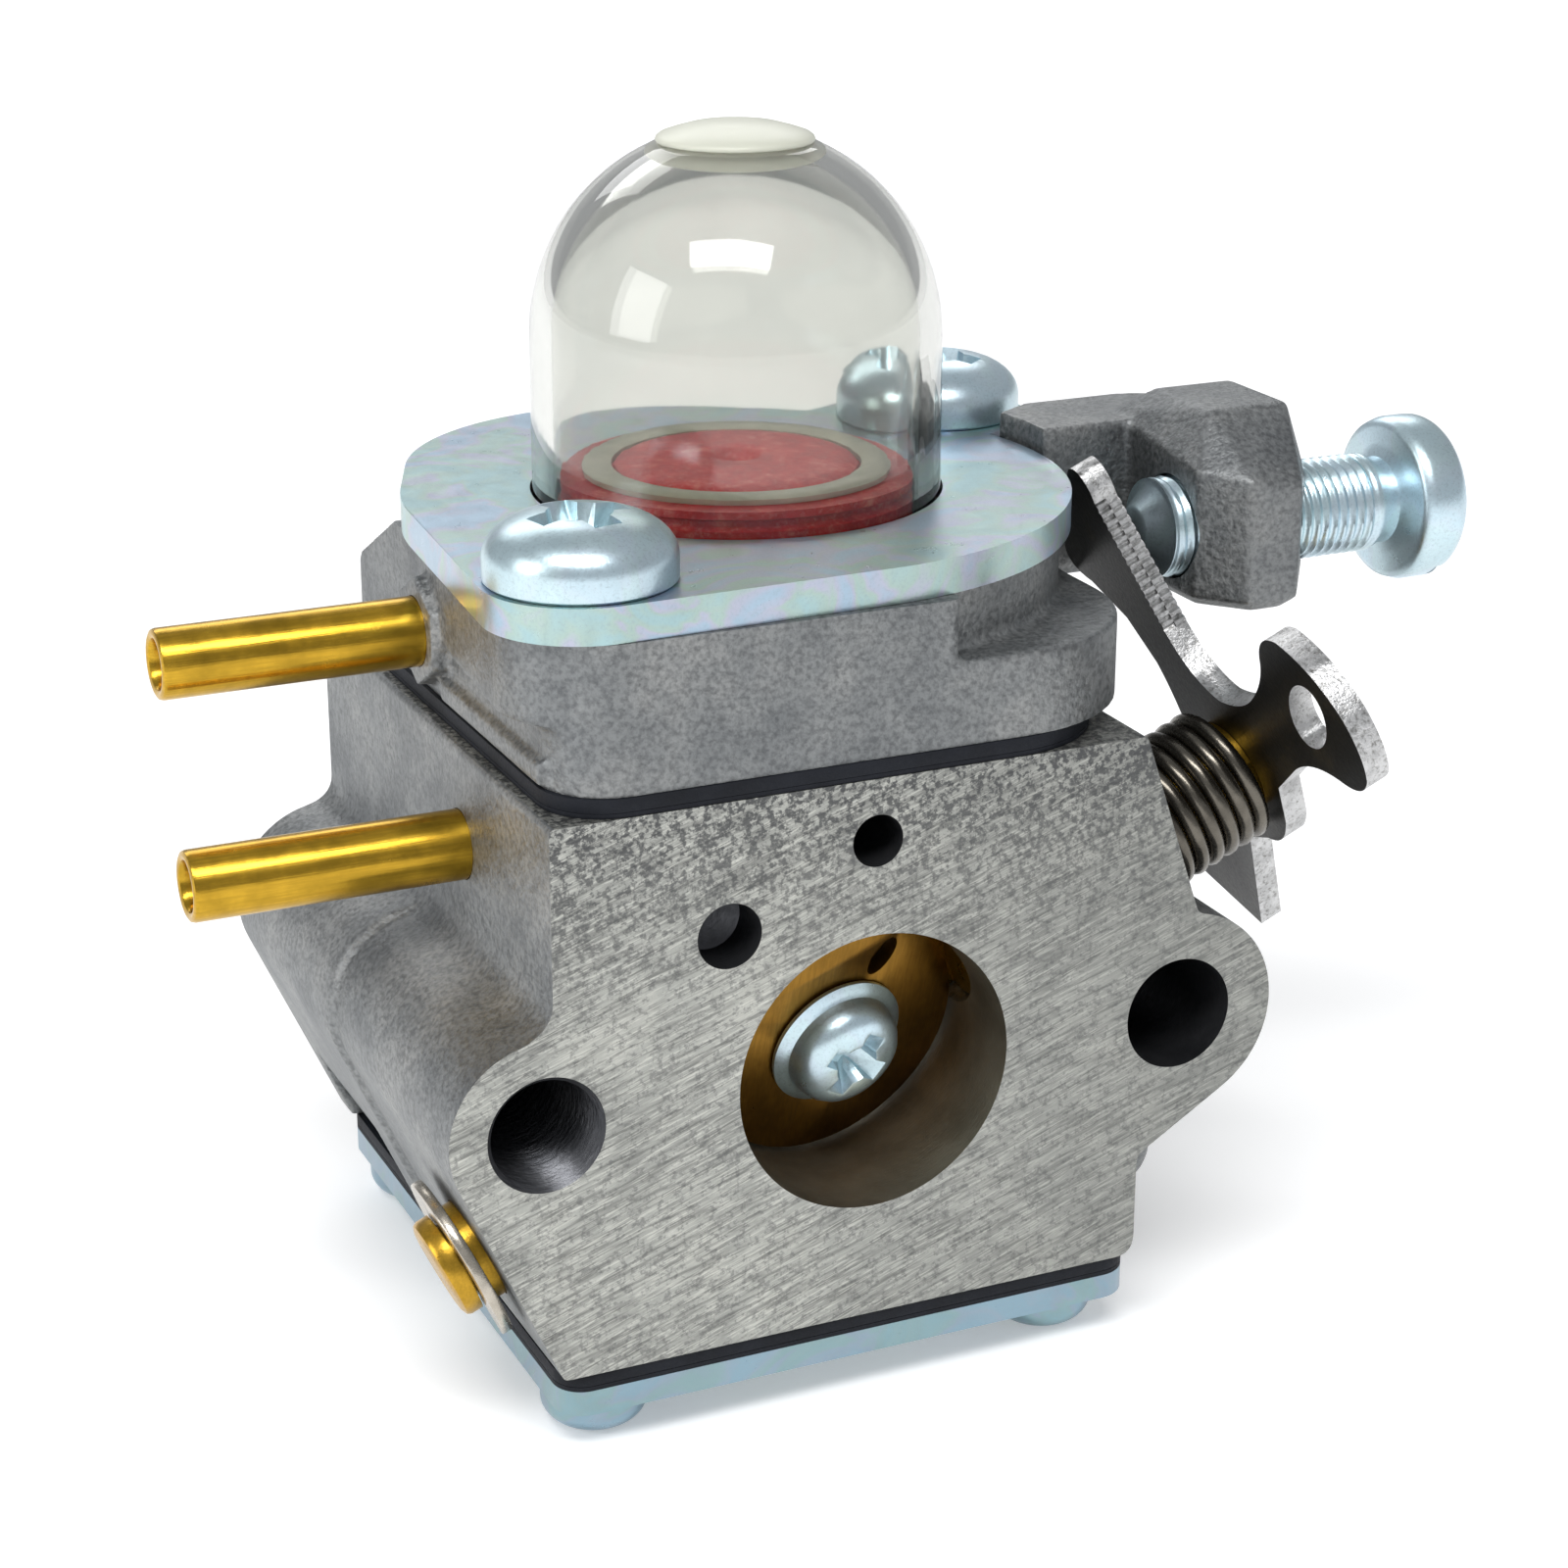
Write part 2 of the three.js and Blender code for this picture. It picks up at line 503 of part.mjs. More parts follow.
// ---------------------------------------------------------------- idle-speed screw
function idleScrew() {
  const { tip, tipR, coneEnd, threadR, headR, headLeft, headRight } = idle;
  const profile = [
    [0, tip], [tipR, tip], [threadR, coneEnd], [threadR, headLeft - 1.2],
    [threadR - 0.3, headLeft - 0.4], [threadR + 0.5, headLeft], [headR - 0.4, headLeft],
    [headR, headLeft + 0.6], [headR, headRight - 0.9], [headR - 1.2, headRight], [0, headRight],
  ];
  const slot = solid(new THREE.BoxGeometry(2.4, 12, 1.1).rotateX(rad(55)).translate(headRight, 0, 0));
  return cut(solid(spinX(profile, 20)), slot);
}
piece("idle_speed_screw", idleScrew(), zinc(), layout).position.set(0, idle.y, idle.z);

// ---------------------------------------------------------------- throttle
const plateTurn = new THREE.Group(); // the throttle plate's own angle at idle
plateTurn.rotation.z = rad(idleAngle);
throttle.add(plateTurn);

// The shaft's flat lies on its axis, and the throttle plate sits in front of it.
function throttleShaft() {
  const flatHalf = bore.throttleR + 0.15;
  const flat = solid(new THREE.BoxGeometry(6, 8, 2 * flatHalf).translate(-3, 0, 0));
  const clipNeck = solid(spinZ(ring(1.75, 4, -19.75, -19.05), 28));
  const boreOfScrew = solid(spinY(rod(1.0, -5, 5), 16).rotateZ(Math.PI / 2));
  const leverFlats = [-1, 1].map((side) =>
    solid(new THREE.BoxGeometry(6, 2, 4).translate(0, side * 2.75, lever.nearS + 2 - SEAM)));
  return cut(
    solid(spinZ([
      [0, shaftEnd.left], [shaft.r - 0.2, shaftEnd.left], [shaft.r, shaftEnd.left + 0.2],
      [shaft.r, shaftEnd.right - 0.2], [shaft.r - 0.2, shaftEnd.right], [0, shaftEnd.right],
    ], 32)),
    flat, clipNeck, boreOfScrew, ...leverFlats,
  );
}
piece("throttle_shaft", throttleShaft(), brass(), plateTurn);

// The plate is an ellipse, so that it nearly fills the round bore while it leans.
function throttlePlate() {
  const half = bore.throttleR - blade.gap;
  const shape = new THREE.Shape();
  // keeps the leaning plate central in the bore
  const centring = (blade.thick / 2) * Math.tan(rad(idleAngle));
  shape.absellipse(centring, 0, half / Math.cos(rad(idleAngle)), half, 0, 2 * Math.PI, false, 0);
  const bleed = new THREE.Path();
  bleed.absellipse(3.2, 3.4, 1.05, 0.55, 0, 2 * Math.PI, true, 0.9);
  const screwHole = new THREE.Path();
  screwHole.absarc(0, 0, 1.15, 0, 2 * Math.PI, true);
  shape.holes.push(bleed, screwHole);
  // The outline's first axis runs across the shaft and its second along it.
  return new THREE.ExtrudeGeometry(shape, { depth: blade.thick, bevelEnabled: false, curveSegments: 12 })
    .applyMatrix4(new THREE.Matrix4().makeBasis(Y_AXIS, Z_AXIS, X_AXIS))
    .translate(-blade.thick - 2 * SEAM, 0, 0);
}
piece("throttle_plate", throttlePlate(), brass(), plateTurn);

const plateScrew = piece("throttle_plate_screw", (() => {
  const profile = [[0, -3.1], [0.9, -3.1], [0.9, 0], [3.3, 0], [3.35, 0.25], [2.75, 0.55], [2.6, 1.3],
    [2.1, 1.85], [0, 2.0]];
  return cut(solid(spinZ(profile, 18)), crossRecess(2.0, 1.75, 0.7, 1.2));
})(), zinc(), plateTurn);
plateScrew.position.set(-blade.thick - 3 * SEAM - 0.01, 0, 0);
plateScrew.rotation.set(0, -Math.PI / 2, rad(35), "YXZ");

// The lever's outline in the shaft frame: x to the back, y across the shaft.
function leverShape() {
  const s = new THREE.Shape();
  s.moveTo(5.0, 14.95);
  s.quadraticCurveTo(4.3, 14.4, 4.4, 13.4); // tip
  s.lineTo(3.3, 10.4);
  s.lineTo(2.0, 7.1); // front edge of the arm
  s.quadraticCurveTo(0.9, 4.6, -1.2, 4.2);
  s.quadraticCurveTo(-3.2, 4.3, -4.7, 5.5);
  s.quadraticCurveTo(-6.4, 6.9, -7.0, 8.3); // neck of the rounded head
  s.quadraticCurveTo(-7.6, 10.2, -9.3, 10.2);
  s.quadraticCurveTo(-11.8, 9.6, -13.1, 7.4);
  s.quadraticCurveTo(-13.9, 5.6, -13.3, 4.2);
  s.quadraticCurveTo(-12.5, 2.9, -10.7, 3.3);
  s.quadraticCurveTo(-8.4, 3.6, -6.6, 2.3);
  s.lineTo(-4.1, 0.3);
  s.lineTo(-3.5, -1.9); // short finger
  s.quadraticCurveTo(-2.6, -3.8, -0.9, -3.9);
  s.lineTo(1.2, -4.7);
  s.lineTo(3.8, -11.2); // pointed finger
  s.lineTo(8.8, -9.7);
  s.quadraticCurveTo(4.1, -3.2, 3.7, -0.2);
  s.quadraticCurveTo(3.6, 2.6, 4.3, 4.5); // back edge of the arm
  s.lineTo(5.8, 6.6);
  s.lineTo(8.3, 7.9);
  s.quadraticCurveTo(10.4, 8.2, 9.9, 9.5);
  s.lineTo(8.2, 11.2);
  s.quadraticCurveTo(7.1, 12.6, 6.5, 14.2);
  s.quadraticCurveTo(5.8, 15.4, 5.0, 14.95);
  return s;
}

function throttleLever() {
  const shape = leverShape();
  const cableHole = new THREE.Path();
  cableHole.absellipse(-9.8, 6.4, 1.3, 2.1, 0, 2 * Math.PI, true, 0.6);
  const stopHole = new THREE.Path();
  stopHole.absarc(4.4, -6.4, 0.55, 0, 2 * Math.PI, true);
  shape.holes.push(cableHole, stopHole);
  const flat = solid(riseZ(shape, lever.nearS, lever.nearS + lever.thick, 4));
  const acrossFlats = new THREE.BoxGeometry(8, 2 * 1.8, 10)
    .rotateZ(rad(idleAngle))
    .translate(0, 0, lever.nearS);
  const shaftSocket = solid(spinZ(rod(shaft.r + 0.04, lever.nearS - 1, lever.nearS + 3), 32))
    .intersect(solid(acrossFlats));
  return cut(flat, shaftSocket);
}
piece("throttle_lever", throttleLever(), darkSteel(), throttle);

// A helix of wire about Z, with a square section that keeps it light.
function coilOfWire({ coilR, wireR, turns, from, to, start = 0, stepsPerTurn = 8 }) {
  class Coil extends THREE.Curve {
    getPoint(t, target = new THREE.Vector3()) {
      const a = start + t * turns * 2 * Math.PI;
      return target.set(coilR * Math.cos(a), coilR * Math.sin(a), from + (to - from) * t);
    }
  }
  const section = outline([[wireR, 0], [0, wireR], [-wireR, 0], [0, -wireR]]);
  return new THREE.ExtrudeGeometry(section, {
    steps: turns * stepsPerTurn,
    bevelEnabled: false,
    extrudePath: new Coil(),
  });
}

// A torsion spring wound round the shaft between the body and the lever.
function throttleSpring() {
  const wireR = 0.4;
  const coilR = 3.05;
  const turns = 6;
  const from = shaft.right + 0.62;
  const to = lever.nearS - 0.62;
  return coilOfWire({ coilR, wireR, turns, from, to, start: rad(-100), stepsPerTurn: 11 });
}
piece("throttle_spring", throttleSpring(), springSteel(), throttle);

function snapClip() {
  const shape = new THREE.Shape();
  shape.absarc(0, 0, 3.9, rad(-62), rad(242), false);
  shape.lineTo(-1.25, -1.7);
  shape.absarc(0, 0, 1.95, rad(233), rad(-53), true);
  return riseZ(shape, -19.65, -19.15, 9);
}
piece("shaft_clip", snapClip(), springSteel(), throttle);

// ---------------------------------------------------------------- metering side
const gasketBottomZ = body.bottom - SEAM - base.gasket;
const membraneTop = gasketBottomZ - SEAM;
const membraneT = 0.2;
const coverTop = membraneTop - membraneT - SEAM;
const coverBottom = coverTop - base.cover;
const meteringShape = () => roundedBox(-15.0, 0.1, 13.7, 30.9, [1.4, 1.6, 1.6, 1.4]);
const coverHoles = (z0, z1, r) =>
  coverScrewPlaces().map(([x, y]) => solid(spinZ(rod(r, z0 - 1, z1 + 1), 10).translate(x, y, 0)));

piece("metering_gasket", cut(
  solid(riseZ(meteringShape(), gasketBottomZ, body.bottom - SEAM, 3)),
  solid(spinZ(rod(chamber.r, gasketBottomZ - 1, body.bottom + 1), 24).translate(chamber.x, chamber.y, 0)),
  ...coverHoles(gasketBottomZ, body.bottom, coverScrew.threadR + 0.15),
), blackRubber(), layout);

// The membrane is a ring with a folded middle; its button moves up and down with the metering lever.
const button = { r: 4.6, t: 0.35, stemR: 1.1, stemTop: -10.8, tail: -13.15 };
piece("metering_diaphragm", cut(
  solid(riseZ(meteringShape(), membraneTop - membraneT, membraneTop, 5)),
  solid(spinZ(rod(1.0, membraneTop - 2, membraneTop + 2), 16).translate(chamber.x, chamber.y, 0)),
  ...coverHoles(membraneTop - membraneT, membraneTop, coverScrew.threadR + 0.15),
), blackRubber(), layout);
const discBottom = membraneTop + 0.06;
piece("diaphragm_button", spinZ([
  [0, button.tail], [0.85, button.tail], [0.85, discBottom], [button.r, discBottom],
  [button.r, discBottom + button.t], [button.stemR, discBottom + button.t],
  [button.stemR, button.stemTop], [0, button.stemTop],
], 24).translate(chamber.x, chamber.y, 0), zinc(), layout);

piece("metering_cover", cut(
  solid(riseZ(meteringShape(), coverBottom, coverTop, 5)),
  solid(spinZ(rod(chamber.r - 0.8, coverTop - 0.6, coverTop + 1), 20).translate(chamber.x, chamber.y, 0)),
  solid(spinZ(rod(0.8, coverBottom - 1, coverTop + 1), 16).translate(chamber.x, chamber.y, 0)),
  ...coverHoles(coverBottom, coverTop, coverScrew.threadR + 0.2),
), zinc(), layout);

coverScrewPlaces().forEach(([x, y], i) => {
  const screw = piece(`cover_screw_${i + 1}`,
    panScrew(coverScrew.headR, base.head, coverScrew.threadR, 5.6, 0.9, 1.3), zinc(), layout);
  screw.position.set(x, y, coverBottom - SEAM);
  screw.rotation.set(Math.PI, 0, rad(20 + 35 * i));
});

// The lever rocks on its pin between the needle and the membrane's button.
function meteringLever() {
  const knuckleR = 1.05;
  const armBottom = leverPin.z - 0.7;
  const armTop = leverPin.z - 0.25;
  const shape = new THREE.Shape(); // in X and Z
  shape.moveTo(chamber.x - 1.2, armBottom);
  shape.lineTo(leverPin.x - 0.9, armBottom);
  shape.absarc(leverPin.x, leverPin.z, knuckleR, rad(230), rad(-50), false);
  shape.lineTo(needleSeat.x + 1.0, armBottom);
  shape.lineTo(needleSeat.x + 1.0, armTop);
  shape.lineTo(leverPin.x + 1.0, armTop);
  shape.absarc(leverPin.x, leverPin.z, knuckleR, rad(-12), rad(192), false);
  shape.lineTo(chamber.x - 1.2, armTop);
  return cut(
    solid(pushY(shape, leverPin.y - 1.5, leverPin.y + 1.5, 10)),
    solid(spinY(rod(leverPin.r + 0.08, -3, 3), 20).translate(leverPin.x, leverPin.y, leverPin.z)),
  );
}
piece("metering_lever", meteringLever(), zinc(), layout);
piece("lever_pin", spinY(rod(leverPin.r, -leverPin.halfLength, leverPin.halfLength), 16)
  .translate(leverPin.x, leverPin.y, leverPin.z), springSteel(), layout);

piece("inlet_needle", spinZ([
  [0, -10.05], [1.0, -10.05], [1.0, -9.6], [1.45, -9.4], [1.45, -5.4], [0.35, -3.4], [0, -3.2],
], 12).translate(needleSeat.x, needleSeat.y, 0), brass(), layout);

piece("metering_lever_spring", coilOfWire({
  coilR: leverSpring.r - 0.1,
  wireR: 0.16,
  turns: 4,
  from: leverPin.z + 0.1,
  to: leverSpring.top - 0.25,
}).translate(leverSpring.x, leverPin.y, 0), springSteel(), layout);

piece("main_nozzle", spinZ([
  [0.5, nozzle.bottom], [nozzle.r, nozzle.bottom], [nozzle.r, nozzle.top],
  [0.5, nozzle.top], [0.5, nozzle.bottom],
], 14).translate(nozzle.x, nozzle.y, 0), brass(), layout);

// ---------------------------------------------------------------- mixture needles
towers.forEach(({ name, y, z, right }) => {
  const needle = piece(`${name}_speed_needle`, (() => {
    const { tip, threadR, recess } = mixture;
    const end = right - recess;
    const profile = [[0, tip], [0.35, tip], [1.1, tip + 3.2], [1.1, tip + 3.6], [threadR, tip + 4.2],
      [threadR, end - 0.2], [threadR - 0.2, end], [0, end]];
    const slot = solid(new THREE.BoxGeometry(1.4, 6, 0.6).translate(end, 0, 0));
    return cut(solid(spinX(profile, 20)), slot);
  })(), brass(), layout);
  needle.position.set(0, y, z);
});

// ---------------------------------------------------------------- origin at the middle of the base
const box = new THREE.Box3().setFromObject(carburetor, true);
layout.position.set(-(box.min.x + box.max.x) / 2, -(box.min.y + box.max.y) / 2, -box.min.z);

export default carburetor;
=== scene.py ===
"""A small two-stroke diaphragm carburetor on a studio table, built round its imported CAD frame.

Shapes are written in millimetres from the centre of the throttle bore on the engine face:
X to the right along the mounting bolts, Y through the body, Z up. They are placed in the
frame, in metres, when a piece is finished.
"""

import json
import math

import bmesh
import bpy
from mathutils import Matrix, Vector


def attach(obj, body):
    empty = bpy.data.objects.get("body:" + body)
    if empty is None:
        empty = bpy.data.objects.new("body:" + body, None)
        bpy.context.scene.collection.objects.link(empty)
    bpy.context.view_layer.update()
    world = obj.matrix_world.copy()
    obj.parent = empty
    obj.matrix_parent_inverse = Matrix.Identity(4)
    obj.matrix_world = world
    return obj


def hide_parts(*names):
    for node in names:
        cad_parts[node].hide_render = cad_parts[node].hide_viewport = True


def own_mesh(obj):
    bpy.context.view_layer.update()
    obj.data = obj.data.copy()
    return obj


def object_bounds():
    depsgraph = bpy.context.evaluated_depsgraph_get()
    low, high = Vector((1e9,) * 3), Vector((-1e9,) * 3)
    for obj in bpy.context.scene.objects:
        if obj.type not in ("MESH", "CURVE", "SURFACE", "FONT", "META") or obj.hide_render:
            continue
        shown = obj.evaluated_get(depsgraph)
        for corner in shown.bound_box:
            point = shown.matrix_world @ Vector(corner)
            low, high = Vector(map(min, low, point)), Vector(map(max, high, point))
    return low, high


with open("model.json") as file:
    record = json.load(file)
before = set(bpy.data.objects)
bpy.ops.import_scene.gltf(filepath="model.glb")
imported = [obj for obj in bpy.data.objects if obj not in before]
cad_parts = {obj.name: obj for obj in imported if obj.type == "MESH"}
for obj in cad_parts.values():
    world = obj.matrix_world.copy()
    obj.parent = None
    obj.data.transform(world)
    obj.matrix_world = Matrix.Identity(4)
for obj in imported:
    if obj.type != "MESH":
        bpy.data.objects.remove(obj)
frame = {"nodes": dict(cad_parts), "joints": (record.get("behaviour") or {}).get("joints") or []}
cad_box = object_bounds()

# ------------------------------------------------------------------ driving sizes, millimetres
MM = 0.001
SEAM = 0.02
SHAFT_Y = 5.4
SHAFT_TILT = math.radians(24)
IDLE_ANGLE = math.radians(20)
BOLT_X = 15.5
BOLT_HOLE_R = 2.68
DEPTH = 31.0
BODY_LEFT, BODY_RIGHT, BODY_BOTTOM, BODY_TOP, BODY_SHOULDER = -15.1, 13.6, -12.0, 13.8, 13.3
EAR_LEFT_R, EAR_RIGHT_R, EAR_WAIST_Y = 4.7, 4.9, 16.0
SHAFT_RIGHT = 16.9
SHAFT_HOLE_R = 2.47
LEVER_NEAR, LEVER_THICK = 23.3, 1.2
SHAFT_END = 24.9
BORE_THROTTLE_R, BORE_THROAT_R, BORE_INTAKE_R = 6.56, 5.4, 7.7
BULB_X, BULB_Y, BULB_R = 0.4, 16.0, 9.37
CASTING_BOTTOM, CASTING_TOP = 14.66, 21.3
SHOULDER = 18.5
IDLE_Y, IDLE_Z = 11.5, 19.7
UPPER_TUBE = (16.4, 17.7)
LOWER_TUBE = (11.3, 9.25)
RETAINER_FRONT = (-11.7, 4.6)
RETAINER_REAR = (15.0, 24.6)
CHAMBER = (-0.75, 15.5)
# The idle-screw boss: its outline with the height of each shoulder, and its flat cap.
LUG_FOOT, LUG_TOP = 16.2, 25.2
LUG_SHOULDERS = [
    (20.9, 9.2, 22.9), (22.7, 7.1, 22.7), (25.4, 7.1, 22.3), (28.4, 11.4, 21.4),
    (28.4, 15.5, 21.4), (25.5, 17.5, 24.0), (20.9, 17.5, 24.0),
]
LUG_CAP = [(22.7, 11.3), (27.0, 11.3), (27.0, 16.3), (22.7, 16.3)]
COVER_SCREWS = [(x, y) for y in (3.2, 27.8) for x in (-12.4, 10.4)]
# Holes in the engine face, as x, z and radius.
IMPULSE_PORT = (0, 10.96, 1.2)
BLIND_HOLE = (-7, 7.7, 1.5)
# Bottom and top of the sheets between the castings, and of the cover under them.
PUMP_DIAPHRAGM = (BODY_TOP + SEAM, BODY_TOP + SEAM + 0.2)
PUMP_GASKET = (BODY_TOP + 0.24, BODY_TOP + 0.84)
METERING_GASKET = (-12.62, -12.02)
METERING_COVER = (-14.06, -12.86)
# What the metering chamber holds, along its middle line: the lever's pin, the inlet and the lever's spring.
LEVER_PIN_X, LEVER_PIN_Z = 5.3, -10.0
INLET_X, LEVER_SPRING_X = 8.3, 2.6
NOZZLE_Y = 19
TOWERS = {"high": (10.6, -5.2, 3.0, 21.6), "low": (6.9, -8.9, 2.6, 17.2)}

JOINTS = {j["name"]: j for j in frame["joints"]}
BORE = Vector(JOINTS["throttle_turn"]["pos_m"]) - Vector((0, SHAFT_Y * MM, 0))
PLACE = Matrix.Translation(BORE) @ Matrix.Scale(MM, 4)

X_UP = Matrix.Rotation(math.radians(90), 4, "Y")  # local Z along X
Y_UP = Matrix.Rotation(math.radians(-90), 4, "X")  # local Z along Y
ALONG = Vector((math.cos(SHAFT_TILT), 0, math.sin(SHAFT_TILT)))
ACROSS = Vector((-math.sin(SHAFT_TILT), 0, math.cos(SHAFT_TILT)))
IDLE = Matrix.Rotation(IDLE_ANGLE, 4, "Z")
# The shaft frame: x to the back, y across the shaft, z along it to the lever.
SHAFT = Matrix(((0, ACROSS.x, ALONG.x, 0), (1, 0, 0, SHAFT_Y), (0, ACROSS.z, ALONG.z, 0), (0, 0, 0, 1)))


def at(x, y, z):
    """A matrix that moves a local shape to a point given in millimetres."""
    return Matrix.Translation((x, y, z))


def spin(degrees, axis="Z"):
    return Matrix.Rotation(math.radians(degrees), 4, axis)


# ------------------------------------------------------------------ material helpers
class Nodes:
    """Short names for building one material's node tree round a Principled shader."""

    def __init__(self, name):
        self.material = bpy.data.materials.new(name)
        self.material.use_nodes = True
        self.tree = self.material.node_tree
        self.shader = self.tree.nodes["Principled BSDF"]
        self.place = self.add("ShaderNodeTexCoord").outputs["Object"]

    def add(self, kind, **settings):
        node = self.tree.nodes.new(kind)
        for key, value in settings.items():
            setattr(node, key, value)
        return node

    def link(self, source, target):
        self.tree.links.new(source, target)

    def put(self, value, socket):
        """Links another node's output to a socket, or writes a number or a colour into it."""
        if hasattr(value, "default_value"):
            self.link(value, socket)
        elif isinstance(value, (int, float)):
            socket.default_value = value
        else:
            socket.default_value = (*value, 1)

    def stretched(self, x, y, z, turn=(0, 0, 0)):
        """Object coordinates in millimetres, turned and then scaled."""
        turned = self.add("ShaderNodeMapping")
        turned.inputs["Rotation"].default_value = turn
        turned.inputs["Scale"].default_value = (1 / MM,) * 3
        self.link(self.place, turned.inputs["Vector"])
        scaled = self.add("ShaderNodeMapping")
        scaled.inputs["Scale"].default_value = (x, y, z)
        self.link(turned.outputs[0], scaled.inputs["Vector"])
        return scaled.outputs[0]

    def noise(self, size, detail=3.0, roughness=0.55, vector=None, distortion=0.0):
        """Noise whose blobs are about this many millimetres across."""
        node = self.add("ShaderNodeTexNoise")
        node.inputs["Scale"].default_value = 1 / size
        node.inputs["Detail"].default_value = detail
        node.inputs["Roughness"].default_value = roughness
        node.inputs["Distortion"].default_value = distortion
        self.link(vector or self.stretched(1, 1, 1), node.inputs["Vector"])
        return node.outputs["Fac"]

    def ramp(self, value, stops):
        node = self.add("ShaderNodeValToRGB")
        elements = node.color_ramp.elements
        while len(elements) < len(stops):
            elements.new(0.5)
        for element, (position, colour) in zip(elements, stops):
            element.position = position
            level = (colour,) * 3 if isinstance(colour, (int, float)) else colour
            element.color = (*level, 1)
        self.link(value, node.inputs["Fac"])
        return node.outputs["Color"]

    def mix(self, factor, a, b):
        node = self.add("ShaderNodeMix", data_type="RGBA")
        for value, place in ((factor, 0), (a, 6), (b, 7)):
            self.put(value, node.inputs[place])
        return node.outputs[2]

    def between(self, value, low, high):
        """A 0 to 1 value spread over low to high."""
        node = self.add("ShaderNodeMapRange")
        node.inputs["To Min"].default_value = low
        node.inputs["To Max"].default_value = high
        self.link(value, node.inputs["Value"])
        return node.outputs["Result"]

    def rise(self, value, low, high):
        """Goes from 0 to 1 while the value goes from low to high."""
        node = self.add("ShaderNodeMapRange")
        node.inputs["From Min"].default_value = low
        node.inputs["From Max"].default_value = high
        self.link(value, node.inputs["Value"])
        return node.outputs["Result"]

    def times(self, a, b):
        node = self.add("ShaderNodeMath", operation="MULTIPLY")
        self.put(a, node.inputs[0])
        self.put(b, node.inputs[1])
        return node.outputs[0]

    def set(self, **values):
        for key, value in values.items():
            self.put(value, self.shader.inputs[key.replace("_", " ")])

    def bump(self, *layers):
        """Bump layers as (height, depth in millimetres), the finest last."""
        normal = None
        for height, depth in layers:
            node = self.add("ShaderNodeBump")
            node.inputs["Strength"].default_value = 1.0
            node.inputs["Distance"].default_value = depth * MM
            self.link(height, node.inputs["Height"])
            if normal:
                self.link(normal, node.inputs["Normal"])
            normal = node.outputs["Normal"]
        self.link(normal, self.shader.inputs["Normal"])


def cast_aluminium():
    m = Nodes("cast aluminium")
    cloud = m.noise(5.0, 4, 0.6)
    grain = m.noise(0.28, 3, 0.6)
    pits = m.noise(0.55, 2, 0.7)
    base = m.ramp(cloud, [
        (0.32, (0.19, 0.2, 0.206)), (0.5, (0.26, 0.27, 0.272)), (0.68, (0.34, 0.345, 0.34)),
    ])
    spotted = m.mix(m.ramp(grain, [(0.35, 1.0), (0.6, 0.0)]), base, (0.06, 0.063, 0.068))
    m.set(Base_Color=m.mix(0.55, base, spotted), Metallic=0.82, Roughness=m.between(grain, 0.36, 0.66))
    m.bump((pits, 0.07), (grain, 0.045))
    return m.material


def milled_aluminium():
    m = Nodes("milled aluminium")
    strokes = m.noise(0.24, 3, 0.6, m.stretched(0.09, 1, 1.1, (0, math.radians(17), 0)))
    fine = m.noise(0.1, 2, 0.6, m.stretched(0.08, 1, 1.3, (0, math.radians(20), 0)))
    cloud = m.noise(6.0, 5, 0.65)
    grain = m.noise(0.3, 3, 0.7)
    base = m.ramp(cloud, [
        (0.3, (0.31, 0.315, 0.295)), (0.55, (0.42, 0.425, 0.395)), (0.75, (0.54, 0.54, 0.495)),
    ])
    dulled = m.mix(m.ramp(strokes, [(0.36, 0.65), (0.56, 0.0)]), base, (0.13, 0.132, 0.125))
    scratched = m.mix(m.ramp(fine, [(0.5, 0.0), (0.68, 0.6)]), dulled, (0.74, 0.74, 0.68))
    where = m.add("ShaderNodeSeparateXYZ")
    m.link(m.place, where.inputs[0])
    # dark specks gather near the top of the face, where the gasket weeps
    weep = m.rise(where.outputs["Z"], BORE.z + 4.5 * MM, BORE.z + 13.5 * MM)
    specks = m.times(m.ramp(grain, [(0.44, 1.0), (0.56, 0.0)]), weep)
    # painted shade: the face darkens towards the lever
    dimming = m.rise(where.outputs["X"], BORE.x - 6 * MM, BORE.x + 14 * MM)
    toned = m.mix(m.times(dimming, 0.4), scratched, (0.13, 0.135, 0.13))
    toned = m.mix(m.ramp(grain, [(0.36, 0.5), (0.5, 0.0)]), toned, (0.09, 0.092, 0.094))
    m.set(
        Base_Color=m.mix(m.times(specks, 0.8), toned, (0.06, 0.062, 0.066)),
        Metallic=0.8,
        Roughness=m.between(grain, 0.34, 0.56),
    )
    m.bump((grain, 0.02), (strokes, 0.03), (fine, 0.014))
    return m.material


def bored_aluminium(name, dark, light):
    m = Nodes(name)
    rings = m.noise(0.12, 2, 0.5, m.stretched(0.3, 1.4, 0.3))
    cloud = m.noise(3.0, 3, 0.6)
    m.set(
        Base_Color=m.ramp(cloud, [(0.3, dark), (0.7, light)]),
        Metallic=0.85,
        Roughness=m.between(rings, 0.26, 0.48),
    )
    m.bump((rings, 0.02))
    return m.material


